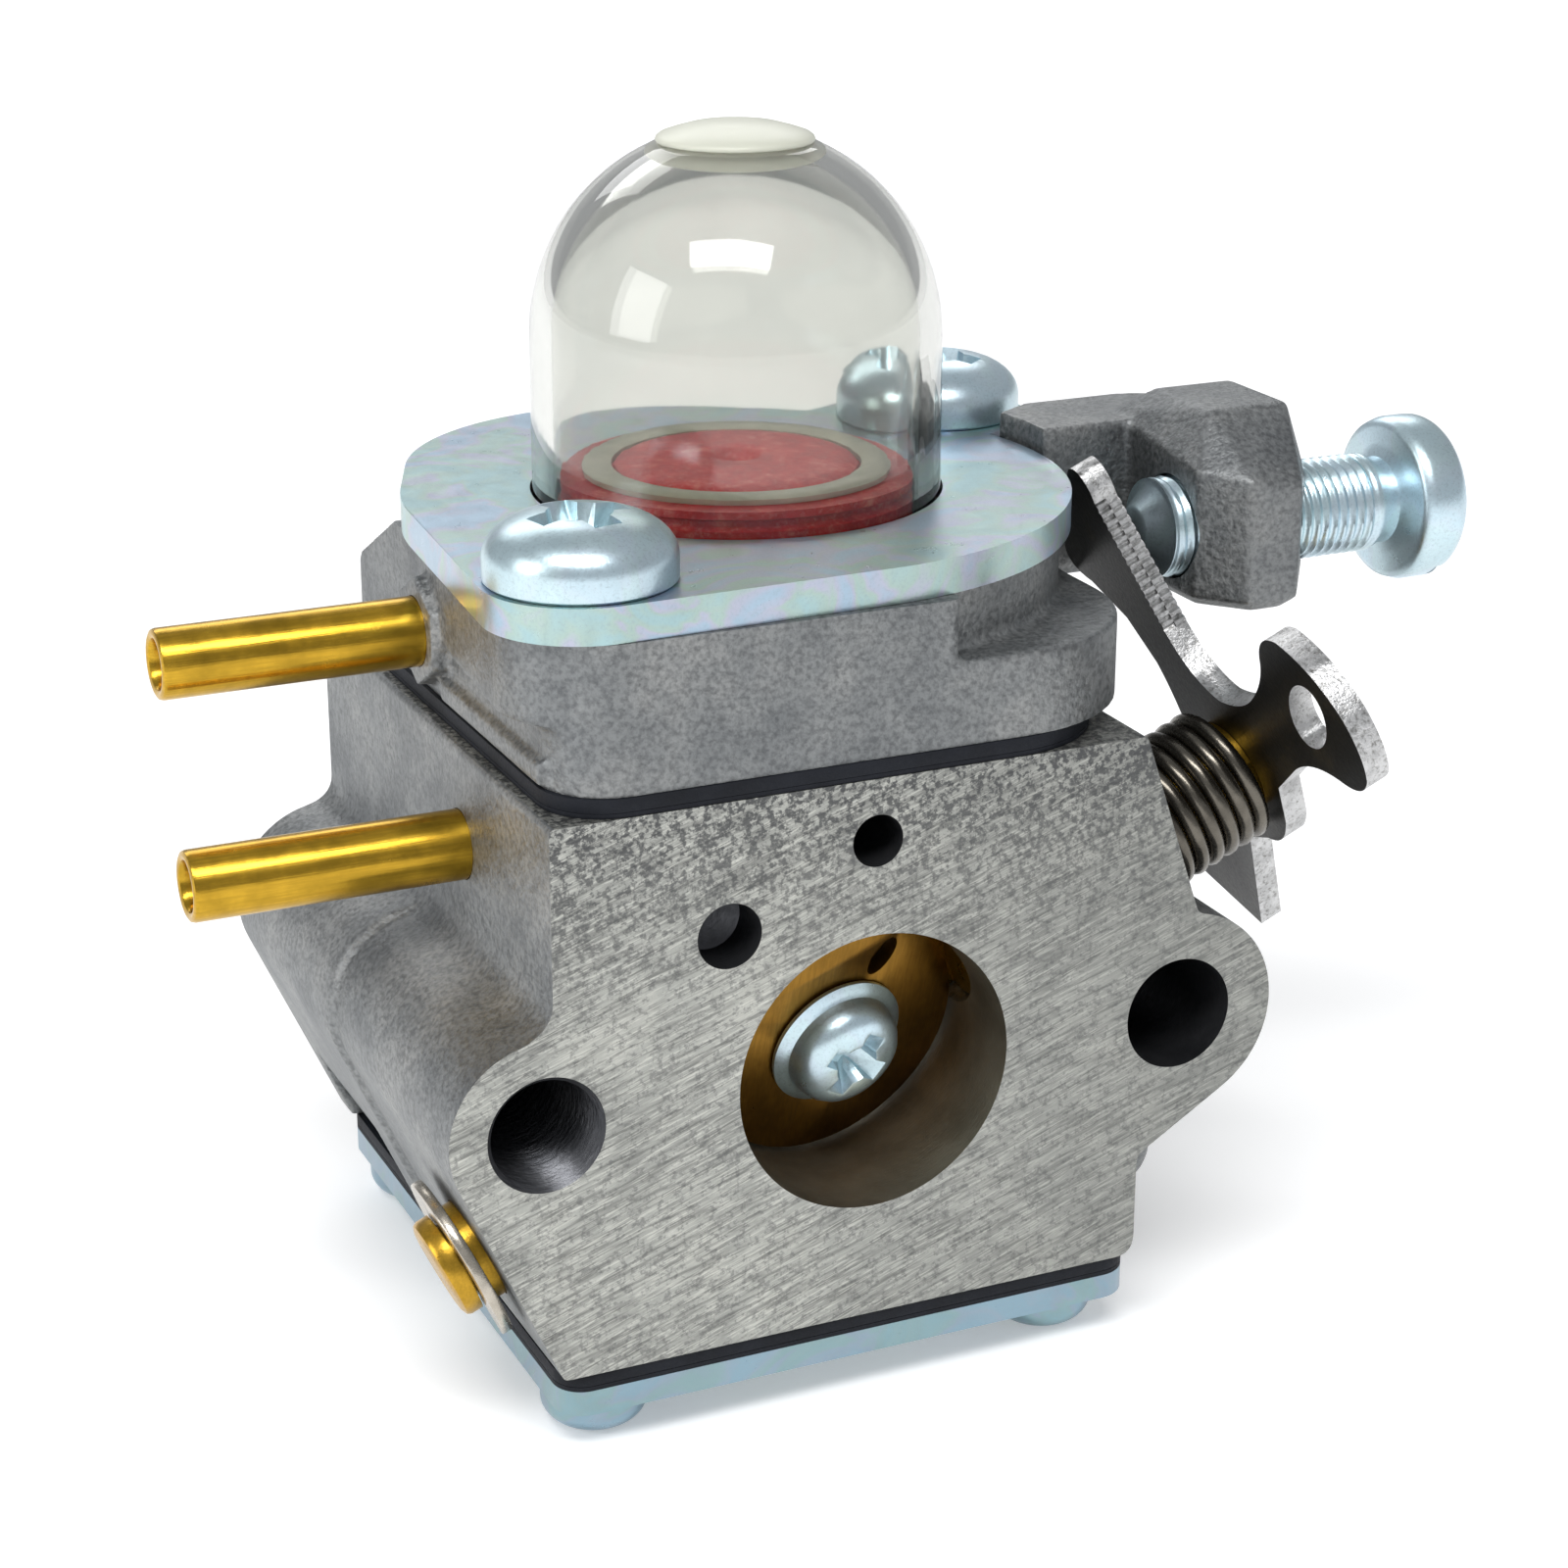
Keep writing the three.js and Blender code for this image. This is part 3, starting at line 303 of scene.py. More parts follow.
def zinc_plate(name, tint, blush):
    """Bright zinc plating: bluish, faintly mottled, with some share of a rainbow blush."""
    m = Nodes(name)
    cloud = m.noise(4.5, 4, 0.6, distortion=0.6)
    dust = m.noise(0.14, 3, 0.7)
    worn = m.noise(1.3, 4, 0.65)
    pale = tuple(min(1.0, c * 1.14) for c in tint)
    base = m.ramp(cloud, [(0.36, tint), (0.62, pale)])
    rainbow = m.ramp(m.noise(4.5, 3, 0.5, distortion=1.4), [
        (0.36, (0.38, 0.56, 0.55)), (0.47, (0.44, 0.54, 0.42)),
        (0.53, (0.54, 0.46, 0.6)), (0.62, (0.4, 0.5, 0.66)),
    ])
    coloured = m.mix(blush, base, rainbow)
    m.set(
        Base_Color=m.mix(m.ramp(dust, [(0.3, 0.35), (0.5, 0.0)]), coloured, (0.28, 0.36, 0.4)),
        Metallic=0.9,
        Roughness=m.between(worn, 0.2, 0.42),
    )
    m.bump((worn, 0.006), (dust, 0.008))
    return m.material


def brass(name, drawn=(0.04, 1, 1), colour=(0.62, 0.37, 0.035), dimming=0.0):
    """Brass with fine lines along the way it was drawn or turned."""
    m = Nodes(name)
    lines = m.noise(0.12, 2, 0.6, m.stretched(*drawn))
    cloud = m.noise(2.2, 4, 0.65)
    dark = tuple(c * 0.62 for c in colour)
    base = m.ramp(cloud, [(0.3, dark), (0.6, colour)])
    m.set(
        Base_Color=m.mix(m.ramp(lines, [(0.38, 0.5), (0.6, 0.0)]), base, dark),
        Metallic=0.97,
        Roughness=m.between(cloud, 0.16 + dimming, 0.34 + dimming),
    )
    m.bump((cloud, 0.006), (lines, 0.006))
    return m.material


def blackened_steel():
    m = Nodes("blackened steel")
    cloud = m.noise(2.4, 4, 0.6)
    grain = m.noise(0.2, 3, 0.6)
    m.set(
        Base_Color=m.ramp(cloud, [(0.3, 0.014), (0.6, (0.026, 0.024, 0.02)), (0.85, (0.07, 0.055, 0.03))]),
        Metallic=0.75,
        Roughness=m.between(grain, 0.24, 0.46),
    )
    m.bump((grain, 0.01))
    return m.material


def sheared_edge():
    """The bright torn edge that a punch leaves round black sheet steel."""
    m = Nodes("sheared steel edge")
    tear = m.noise(0.22, 3, 0.7)
    blotch = m.noise(1.1, 3, 0.6)
    base = m.ramp(blotch, [(0.3, 0.4), (0.6, 0.62)])
    m.set(
        Base_Color=m.mix(m.ramp(tear, [(0.3, 0.7), (0.5, 0.0)]), base, (0.08, 0.075, 0.06)),
        Metallic=0.9,
        Roughness=m.between(tear, 0.24, 0.5),
    )
    m.bump((tear, 0.05))
    return m.material


def spring_steel(name="spring steel", colour=(0.17, 0.155, 0.13)):
    m = Nodes(name)
    grain = m.noise(0.16, 3, 0.6)
    cloud = m.noise(1.6, 3, 0.6)
    m.set(
        Base_Color=m.ramp(cloud, [(0.3, tuple(c * 0.6 for c in colour)), (0.65, colour)]),
        Metallic=0.95,
        Roughness=m.between(grain, 0.18, 0.34),
    )
    m.bump((grain, 0.006))
    return m.material


def black_rubber():
    m = Nodes("gasket sheet")
    grain = m.noise(0.18, 3, 0.7)
    cloud = m.noise(3.0, 3, 0.6)
    m.set(
        Base_Color=m.ramp(cloud, [(0.3, (0.004, 0.005, 0.008)), (0.7, (0.01, 0.012, 0.018))]),
        Roughness=m.between(grain, 0.5, 0.8),
        Specular_IOR_Level=0.25,
    )
    m.bump((grain, 0.02))
    return m.material


def red_rubber():
    m = Nodes("red silicone")
    blotch = m.noise(1.1, 5, 0.7)
    grain = m.noise(0.22, 3, 0.7)
    base = m.ramp(blotch, [
        (0.34, (0.5, 0.012, 0.016)), (0.56, (0.68, 0.03, 0.03)), (0.72, (0.82, 0.22, 0.18)),
    ])
    m.set(
        Base_Color=m.mix(m.ramp(grain, [(0.5, 0.0), (0.7, 0.35)]), base, (0.85, 0.42, 0.36)),
        Roughness=m.between(grain, 0.34, 0.6),
        Subsurface_Weight=0.08,
        Subsurface_Scale=0.0008,
    )
    m.bump((blotch, 0.02), (grain, 0.02))
    return m.material


def pale_plastic():
    m = Nodes("natural nylon")
    cloud = m.noise(1.5, 3, 0.6)
    grain = m.noise(0.2, 2, 0.6)
    m.set(
        Base_Color=m.ramp(cloud, [(0.3, (0.42, 0.4, 0.3)), (0.7, (0.56, 0.54, 0.42))]),
        Roughness=m.between(grain, 0.35, 0.55),
    )
    m.bump((grain, 0.01))
    return m.material


def clear_plastic(name, roughness, tint, ripple, clarity):
    """See-through moulded urethane, a little wavy and faintly yellow-green."""
    m = Nodes(name)
    wave = m.noise(4.0, 2, 0.4)
    haze = m.noise(0.6, 4, 0.6)
    m.set(
        Base_Color=m.ramp(wave, [(0.3, tint), (0.7, tuple(min(1.0, c * 1.05) for c in tint))]),
        Roughness=m.between(haze, *roughness),
        IOR=1.46,
        Transmission_Weight=clarity,
    )
    m.bump((wave, ripple))
    return m.material


MATERIALS = {
    "cast": cast_aluminium(),
    "milled": milled_aluminium(),
    # the bore's warm brown tint is a painted reflection of the brass throttle plate
    "bored": bored_aluminium("bored aluminium", (0.18, 0.16, 0.12), (0.3, 0.27, 0.21)),
    # a much darker copy of the bored finish: painted shade for the inside of the small holes
    "hole_shade": bored_aluminium("aluminium darkened as painted hole shade", (0.05, 0.052, 0.058), (0.1, 0.102, 0.11)),
    "plate": zinc_plate("zinc plate", (0.34, 0.47, 0.52), 0.55),
    "zinc": zinc_plate("zinc plated screw", (0.56, 0.7, 0.76), 0.12),
    # cover: a darker copy of the zinc plating, painted shade for the parts that face the table
    "cover": zinc_plate("zinc plate darkened as painted underside shade", (0.2, 0.31, 0.36), 0.2),
    "tube": brass("drawn brass"),
    "turned": brass("turned brass", (1, 1, 1), (0.6, 0.35, 0.04), 0.04),
    "blade": brass("rolled brass", (1, 0.2, 0.1), (0.3, 0.155, 0.025), 0.06),
    "black_steel": blackened_steel(),
    "edge": sheared_edge(),
    "spring": spring_steel(),
    "clip": spring_steel("clip steel", (0.6, 0.55, 0.47)),
    "gasket": black_rubber(),
    "red": red_rubber(),
    "nylon": pale_plastic(),
    "clear": clear_plastic("clear urethane", (0.02, 0.06), (0.77, 0.776, 0.74), 0.01, 1.0),
    "frosted": clear_plastic("frosted urethane", (0.3, 0.45), (0.8, 0.81, 0.7), 0.02, 0.35),
}


# ------------------------------------------------------------------ shape helpers, in millimetres
def object_of(mesh, name="shape"):
    made = bpy.data.objects.new(name, mesh)
    bpy.context.scene.collection.objects.link(made)
    return made


def from_bmesh(bm, name="shape"):
    bmesh.ops.recalc_face_normals(bm, faces=bm.faces)
    mesh = bpy.data.meshes.new(name)
    bm.to_mesh(mesh)
    bm.free()
    return object_of(mesh, name)


def skin(bm, rings, wrap_ends=False):
    """Quads between neighbouring rings of vertices. A ring of one vertex is a pole."""
    pairs = list(zip(rings, rings[1:])) + ([(rings[-1], rings[0])] if wrap_ends else [])
    for a, b in pairs:
        count = max(len(a), len(b))
        for i in range(count):
            j = (i + 1) % count
            corners = [a[i % len(a)], a[j % len(a)], b[j % len(b)], b[i % len(b)]]
            corners = list(dict.fromkeys(corners))
            if len(corners) > 2:
                bm.faces.new(corners)


def lathe(profile, sides=96, where=Matrix.Identity(4)):
    """A solid turned about its local Z from (radius, height) points. A closed profile makes a ring."""
    bm = bmesh.new()
    closed = profile[0] == profile[-1]
    rings = []
    for r, h in profile[:-1] if closed else profile:
        angles = [0] if r < 1e-6 else [2 * math.pi * i / sides for i in range(sides)]
        rings.append([bm.verts.new(where @ Vector((r * math.cos(a), r * math.sin(a), h))) for a in angles])
    skin(bm, rings, closed)
    return from_bmesh(bm)


def rod(r, low, high, sides=96, where=Matrix.Identity(4)):
    return lathe([(0, low), (r, low), (r, high), (0, high)], sides, where)


def slab(outline, low, high, where=Matrix.Identity(4)):
    """An outline in local X and Y, raised from low to high."""
    bm = bmesh.new()
    bottom = [bm.verts.new(where @ Vector((x, y, low))) for x, y in outline]
    top = [bm.verts.new(where @ Vector((x, y, high))) for x, y in outline]
    skin(bm, [bottom, top])
    bm.faces.new(bottom)
    bm.faces.new(top)
    return from_bmesh(bm)


def block(low, high, where=Matrix.Identity(4)):
    (x0, y0, z0), (x1, y1, z1) = low, high
    return slab([(x0, y0), (x1, y0), (x1, y1), (x0, y1)], z0, z1, where)


def hull(points):
    """The convex solid round a set of points."""
    bm = bmesh.new()
    for point in points:
        bm.verts.new(point)
    made = bmesh.ops.convex_hull(bm, input=bm.verts)
    unused = [v for v in made["geom_interior"] if isinstance(v, bmesh.types.BMVert)]
    bmesh.ops.delete(bm, geom=unused, context="VERTS")
    return from_bmesh(bm)


def frustum(half_top, half_bottom, top, bottom, where=Matrix.Identity(4)):
    """A box whose half width and half breadth change from top to bottom."""
    bm = bmesh.new()
    rings = []
    for (a, b), z in ((half_bottom, bottom), (half_top, top)):
        corners = [(-a, -b, z), (a, -b, z), (a, b, z), (-a, b, z)]
        rings.append([bm.verts.new(where @ Vector(p)) for p in corners])
    skin(bm, rings)
    bm.faces.new(rings[0])
    bm.faces.new(rings[1])
    return from_bmesh(bm)


def sweep(points, r, sides=16, where=Matrix.Identity(4)):
    """A round wire along a list of points, with flat ends."""
    path = [Vector(p) for p in points]
    bm = bmesh.new()
    rings = []
    side = (path[1] - path[0]).orthogonal().normalized()
    turns = [2 * math.pi * k / sides for k in range(sides)]
    for i, p in enumerate(path):
        ahead = (path[min(i + 1, len(path) - 1)] - path[max(i - 1, 0)]).normalized()
        side = (side - ahead * side.dot(ahead)).normalized()
        other = ahead.cross(side)
        spokes = [side * math.cos(a) + other * math.sin(a) for a in turns]
        rings.append([bm.verts.new(where @ (p + spoke * r)) for spoke in spokes])
    skin(bm, rings)
    bm.faces.new(rings[0])
    bm.faces.new(rings[-1])
    return from_bmesh(bm)


def apply_modifiers(obj):
    mesh = bpy.data.meshes.new_from_object(obj.evaluated_get(bpy.context.evaluated_depsgraph_get()))
    mesh.materials.clear()
    obj.modifiers.clear()
    obj.data = mesh
    return obj


def discard(*objects):
    for obj in objects:
        bpy.data.objects.remove(obj)


def boolean(base, others, operation):
    for other in others:
        modifier = base.modifiers.new("cut", "BOOLEAN")
        modifier.operation = operation
        modifier.solver = "MANIFOLD"
        modifier.object = other
    apply_modifiers(base)
    discard(*others)
    return base


def cut(base, *cutters):
    return boolean(base, cutters, "DIFFERENCE")


def join(base, *others):
    return boolean(base, others, "UNION")


def soften(obj, voxel, passes, keep=1.0):
    """Rounds every edge as a die-casting's are, and thins the mesh to a share of its faces."""
    remesh = obj.modifiers.new("remesh", "REMESH")
    remesh.mode = "VOXEL"
    remesh.voxel_size = voxel
    smooth = obj.modifiers.new("smooth", "SMOOTH")
    smooth.factor = 0.5
    smooth.iterations = passes
    if keep < 1.0:
        obj.modifiers.new("thin", "DECIMATE").ratio = keep
    return apply_modifiers(obj)


def bevel(obj, width, segments=2, angle=40):
    modifier = obj.modifiers.new("bevel", "BEVEL")
    modifier.width = width
    modifier.segments = segments
    modifier.limit_method = "ANGLE"
    modifier.angle_limit = math.radians(angle)
    modifier.use_clamp_overlap = True
    return apply_modifiers(obj)


def finish_piece(obj, name, material, body, replaces=(), sharp=35):
    """Names a finished shape, places it in the frame, and lets it ride on its body."""
    obj.data.transform(PLACE)
    obj.name = name
    obj.data.name = name
    obj.data.shade_smooth()
    obj.data.set_sharp_from_angle(angle=math.radians(sharp))
    for key in [material] if isinstance(material, str) else material:
        obj.data.materials.append(MATERIALS[key])
    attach(obj, body)
    if replaces:
        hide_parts(*replaces)
    return obj


def paint(obj, material_index, test):
    """Gives one material slot to the faces whose centre and normal, in millimetres, pass the test."""
    for face in obj.data.polygons:
        if test(face.center, face.normal):
            face.material_index = material_index


# ------------------------------------------------------------------ outlines
def arc(x, y, r, start, end, steps=12):
    """Points on an arc, in degrees."""
    turns = [math.radians(start + (end - start) * i / steps) for i in range(steps + 1)]
    return [(x + r * math.cos(a), y + r * math.sin(a)) for a in turns]


def ellipse(x, y, a, b, turn):
    """Points round an ellipse with half axes a and b, turned in radians."""
    c, s = math.cos(turn), math.sin(turn)
    return [(x + a * u * c - b * v * s, y + a * u * s + b * v * c) for u, v in arc(0, 0, 1, 0, 352, 44)]


def curve(a, b, c, steps=8):
    """Points on a quadratic curve from a to c, without a itself."""
    found = []
    for i in range(1, steps + 1):
        t = i / steps
        found.append(tuple((1 - t) ** 2 * a[k] + 2 * t * (1 - t) * b[k] + t * t * c[k] for k in (0, 1)))
    return found


def rounding(r, h, wide, high, steps):
    """Profile points of a quarter ellipse that ends on top, without its first point."""
    turns = [math.pi / 2 * i / steps for i in range(1, steps + 1)]
    return [(r + wide * math.cos(a), h + high * math.sin(a)) for a in turns]


def rounded_box(x0, y0, x1, y1, radii):
    """Corner radii go front left, front right, back right, back left."""
    a, b, c, d = radii
    return (
        arc(x0 + a, y0 + a, a, 180, 270)
        + arc(x1 - b, y0 + b, b, 270, 360)
        + arc(x1 - c, y1 - c, c, 0, 90)
        + arc(x0 + d, y1 - d, d, 90, 180)
    )


def round_discs(discs):
    """The convex outline round a set of (x, y, r) discs."""
    steps = 120
    points = sorted(p for x, y, r in discs for p in arc(x, y, r, 0, 360 - 360 / steps, steps - 1))

    def turn(o, a, b):
        return (a[0] - o[0]) * (b[1] - o[1]) - (a[1] - o[1]) * (b[0] - o[0])

    def half(ordered):
        chain = []
        for p in ordered:
            while len(chain) > 1 and turn(chain[-2], chain[-1], p) <= 1e-6:
                chain.pop()
            chain.append(p)
        return chain[:-1]

    return half(points) + half(points[::-1])


def body_outline(inset=0.0):
    """The body seen from the engine, as X and Z: a block with a round ear for each bolt."""

    def on_slope(s, z):
        return (s - z * ALONG.z) / ALONG.x

    left_r = EAR_LEFT_R - inset
    side_top = -6.9
    shoulder_angle = 102
    reach = math.sqrt(EAR_RIGHT_R**2 - (SHAFT_RIGHT - BOLT_X * ALONG.x) ** 2)
    right_end = math.degrees(math.atan2(reach, SHAFT_RIGHT - BOLT_X * ALONG.x) + SHAFT_TILT)
    across = BODY_RIGHT - BOLT_X
    touch = math.acos(EAR_RIGHT_R / math.hypot(across, side_top))
    low_tangent = math.degrees(math.atan2(side_top, across) + touch)
    slope = math.degrees(SHAFT_TILT)
    shoulder = arc(-BOLT_X, 0, left_r, shoulder_angle, shoulder_angle, 1)[0]
    return (
        [(BODY_LEFT, BODY_TOP), (BODY_LEFT, 6.0)]
        + curve((BODY_LEFT, 6.0), (BODY_LEFT, 4.9), shoulder)[:-1]
        + arc(-BOLT_X, 0, left_r, shoulder_angle, 180 + slope, 24)
        + [(on_slope(-BOLT_X * ALONG.x - left_r, BODY_BOTTOM), BODY_BOTTOM)]
        + arc(BODY_RIGHT - 0.8, BODY_BOTTOM + 0.8, 0.8, 270, 360, 4)
        + [(BODY_RIGHT, side_top)]
        + arc(BOLT_X, 0, EAR_RIGHT_R, low_tangent, right_end, 30)
        + [(BODY_SHOULDER, BODY_TOP)]
    )


METERING_OUTLINE = rounded_box(-15.0, 0.1, 13.7, 30.9, (1.4, 1.6, 1.6, 1.4))
PLATE_DISCS = [(BULB_X, BULB_Y, 15.4), (-1.3, 21, 12), (*RETAINER_FRONT, 4.35)]
REAR_LOBE = [(*RETAINER_REAR, 4.6), (BULB_X + 4, BULB_Y + 4, 6)]


def grown(discs, extra):
    return [(x, y, r + extra) for x, y, r in discs]


# ------------------------------------------------------------------ castings
# A local frame whose X and Y are the layout's X and Z, and whose Z runs to the back.
FACE = Matrix(((1, 0, 0, 0), (0, 0, 1, 0), (0, 1, 0, 0), (0, 0, 0, 1)))
# A local frame whose X and Y are the layout's Y and Z, and whose Z runs to the right.
SIDE = Matrix(((0, 0, 1, 0), (1, 0, 0, 0), (0, 1, 0, 0), (0, 0, 0, 1)))


def bore_profile():
    """The bore narrows from the intake to a throat and opens again at the throttle plate."""
    points = [(0, -1), (BORE_THROTTLE_R, -1), (BORE_THROTTLE_R, 11)]
    steps = 12
    for i in range(1, steps + 1):
        t = i / steps
        ease = (1 - math.cos(math.pi * t)) / 2
        points.append((BORE_THROTTLE_R + (BORE_THROAT_R - BORE_THROTTLE_R) * ease, 11 + 5.5 * t))
    for i in range(steps + 1):
        t = i / steps
        ease = t * t * (3 - 2 * t)
        points.append((BORE_THROAT_R + (BORE_INTAKE_R - BORE_THROAT_R) * ease, 19 + (DEPTH - 20.5) * t))
    return points + [(BORE_INTAKE_R, DEPTH + 1), (0, DEPTH + 1)]


def threaded_hole(r, low, high, pitch, where):
    """A cutter for a tapped hole: a fine saw-toothed rod."""
    profile = [(0, low)]
    count = int((high - low) / pitch)
    for i in range(count):
        profile += [(r - 0.16, low + i * pitch), (r + 0.12, low + (i + 0.5) * pitch)]
    return lathe(profile + [(r - 0.16, high), (0, high)], 64, where)


def main_body():
    overrun = 0.4  # cast proud of the two milled faces, and cut back
    front = slab(body_outline(0.3), -overrun, EAR_WAIST_Y, FACE)
    back = slab(body_outline(), EAR_WAIST_Y, DEPTH + overrun, FACE)
    towers = []
    for y, z, r, right in TOWERS.values():
        profile = [(0, 12), (r, 12), (r, right - 0.5), (r - 0.5, right), (0, right)]
        towers.append(lathe(profile, 64, at(0, y, z) @ X_UP))
    rib = slab(arc(0, 0, 1.2, 0, 345, 23), 3.0, DEPTH - 2.5, at(BODY_LEFT + 0.15, 0, -6.6) @ FACE)
    flat = SHAFT_RIGHT - 0.2
    shaft_seat = lathe([(0, flat), (3.6, flat), (3.7, SHAFT_RIGHT), (3.7, 30), (0, 30)], 64, SHAFT)
    rough = join(front, back, *towers, rib)
    rough = cut(
        rough,
        block((11.9, 19.85, 5.7), (18, 29.35, 13.1)),
        block((-17, 19.85, -12.2), (BODY_LEFT + 1.6, 29.35, -7.0)),
        shaft_seat,
    )
    soften(rough, 0.17, 5, 0.5)
    middle = CHAMBER[1]
    impulse_x, impulse_z, impulse_r = IMPULSE_PORT
    blind_x, blind_z, blind_r = BLIND_HOLE
    body = cut(
        rough,
        block((-40, -5, -40), (40, 0, 40)),
        block((-40, DEPTH, -40), (40, DEPTH + 5, 40)),
        block((-40, -5, BODY_TOP), (40, 40, 40)),
        block((-40, -5, -40), (40, 40, BODY_BOTTOM)),
        lathe(bore_profile(), 128, Y_UP),
        threaded_hole(BOLT_HOLE_R - 0.05, -1, DEPTH + 1, 0.62, at(-BOLT_X, 0, 0) @ Y_UP),
        rod(BOLT_HOLE_R, -1, DEPTH + 1, 96, at(BOLT_X, 0, 0) @ Y_UP),
        rod(SHAFT_HOLE_R, -30, 30, 64, SHAFT),
        rod(impulse_r, -1, 5.2, 48, at(impulse_x, 0, impulse_z) @ Y_UP),
        rod(1.0, 8, 15, 32, at(0, 4.4, 0)),
        lathe([(0, 3.0), (blind_r, 2.4), (blind_r, -1), (0, -1)], 48, at(blind_x, 0, blind_z) @ Y_UP),
        rod(1.63, -17, -9.4, 48, at(0, *LOWER_TUBE) @ X_UP),
        rod(1.0, LOWER_TUBE[1] - 0.2, 15, 32, at(-11.0, LOWER_TUBE[0], 0)),
        rod(10.8, -13, -8.7, 96, at(*CHAMBER, 0)),
        rod(1.75, -10, -2.5, 32, at(INLET_X, middle, 0)),
        rod(1.55, -10, -3.5, 32, at(0, NOZZLE_Y, 0)),
        rod(1.6, -10, -7.0, 32, at(LEVER_SPRING_X, middle, 0)),
        *[rod(1.9, 7.3, 30, 48, at(0, y, z) @ X_UP) for y, z, _, _ in TOWERS.values()],
        *[rod(1.33, -13, -7.3, 32, at(x, y, 0)) for x, y in COVER_SCREWS],
    )
    posts = [block((4.0, y - 0.95, -10.8), (6.6, y + 0.95, -8.6)) for y in (middle - 3.15, middle + 3.15)]
    body = cut(join(body, *posts), rod(0.61, -4.2, 4.2, 32, at(LEVER_PIN_X, middle, LEVER_PIN_Z) @ Y_UP))
    milled, bored, hole_shade = 1, 2, 3
    paint(body, milled, lambda c, n: n.y < -0.99 and c.y < 0.01 or n.y > 0.99 and c.y > DEPTH - 0.01)
    paint(body, milled, lambda c, n: abs(n.z) > 0.99 and (c.z > BODY_TOP - 0.01 or c.z < BODY_BOTTOM + 0.01))
    bore_reach = BORE_INTAKE_R + 0.05
    paint(body, bored, lambda c, n: math.hypot(c.x, c.z) < bore_reach and 0.01 < c.y < DEPTH - 0.01
          and abs(n.x * c.x + n.z * c.z) > 0.3 * math.hypot(c.x, c.z))
    # painted shade: the bolt holes, the blind hole and the impulse port take the dark copy of the bored
    # finish
    for x, z, r in ((-BOLT_X, 0, BOLT_HOLE_R), (BOLT_X, 0, BOLT_HOLE_R), BLIND_HOLE, IMPULSE_PORT):
        reach = r + 0.15
        paint(body, hole_shade, lambda c, n: math.hypot(c.x - x, c.z - z) < reach and 0.01 < c.y < DEPTH - 0.01)
    finish_piece(body, "body_casting", ["cast", "milled", "bored", "hole_shade"], "casting",
                 ["main_body"], 32)


def pump_cover():
    low, high = CASTING_BOTTOM - 0.3, CASTING_TOP + 0.3  # trimmed flat once the edges are softened
    lower = slab(rounded_box(-14.3, 0.15, 14.8, 30.6, (3.0, 7.5, 4, 4)), low, SHOULDER)
    upper = slab(round_discs(grown(PLATE_DISCS, -0.5)), SHOULDER - 1, high)
    squared = slab(rounded_box(-14.3, 0.15, 4, 30.6, (3.0, 0.5, 1, 4)), SHOULDER - 1, high)
    rear_post = slab(round_discs([(*RETAINER_REAR, 4.1), (10, 20, 5)]), low, high)
    arm = slab(rounded_box(12, 15.4, 25.4, 20.5, (0.5, 0.5, 2.6, 0.5)), 16.6, 24.0)
    clearance = join(
        slab(round_discs(grown(PLATE_DISCS, 0.35)), CASTING_TOP, 25),
        slab(round_discs(grown(REAR_LOBE, 0.35)), CASTING_TOP, 25),
    )
    cut(arm, clearance)
    foot = 0.6
    middle = (24.7, 12.3)
    inward = [(x + math.copysign(foot, middle[0] - x), y + math.copysign(foot, middle[1] - y))
              for x, y, _ in LUG_SHOULDERS]
    lug = hull(
        [(x, y, LUG_FOOT) for x, y in inward]
        + [(x, y, LUG_FOOT + foot) for x, y, _ in LUG_SHOULDERS]
        + LUG_SHOULDERS
        + [(x, y, LUG_TOP) for x, y in LUG_CAP]
    )
    tube_boss = rod(2.6, -15.2, -11, 6, at(0, *UPPER_TUBE) @ X_UP)
    ledge = block((-14.7, 2.35, CASTING_BOTTOM + 0.2), (-14.0, 14.85, CASTING_BOTTOM + 1.2))
    rough = join(lower, upper, squared, rear_post, arm, lug, tube_boss, ledge)
    back_slope = slab([(21.2, CASTING_TOP + 0.4), (32, 15.9), (32, 24), (21.2, 24)], -20, -9.5, SIDE)
    rough = cut(rough, back_slope)
    soften(rough, 0.16, 6, 0.5)
    beside_arm = [
        (-40, -5), (12.0, -5), (12.0, 15.2), (14.5, 15.2), (14.5, 20.8), (20, 20.8), (20, 40), (-40, 40),
    ]
    cover = cut(
        rough,
        block((-40, -5, 0), (40, 40, CASTING_BOTTOM)),
        slab(beside_arm, CASTING_TOP, CASTING_TOP + 1.0),
        rod(2.52, 20.0, 29.5, 64, at(0, IDLE_Y, IDLE_Z) @ X_UP),
        rod(1.63, -17, -10.4, 48, at(0, *UPPER_TUBE) @ X_UP),
        rod(1.0, CASTING_BOTTOM - 1, 17.9, 32, at(-11.9, UPPER_TUBE[0], 0)),
        rod(10.75, CASTING_TOP - 1.15, 22, 128, at(BULB_X, BULB_Y, 0)),
        rod(8.25, 19.1, 22, 96, at(BULB_X, BULB_Y, 0)),
        rod(0.8, CASTING_BOTTOM - 1, 22, 24, at(BULB_X + 4.6, BULB_Y + 2, 0)),
        rod(6.4, CASTING_BOTTOM - 1, CASTING_BOTTOM + 1.6, 64, at(-2, 12, 0)),
        rod(3.1, CASTING_BOTTOM - 1, CASTING_BOTTOM + 1.9, 48, at(8.6, 20, 0)),
        *[rod(2.08, CASTING_BOTTOM - 1, 22, 48, at(*place, 0)) for place in (RETAINER_FRONT, RETAINER_REAR)],
    )
    finish_piece(cover, "pump_cover_casting", "cast", "casting", ["pump_cover"], 32)


# ------------------------------------------------------------------ flat pieces
def sheet(outline, low, high, edge, holes):
    """A flat sheet with softly rounded edges. Holes are (x, y, r)."""
    piece = slab(outline, low, high)
    cut(piece, *[rod(r, low - 1, high + 1, 64, at(x, y, 0)) for x, y, r in holes])
    return bevel(piece, edge, 3)


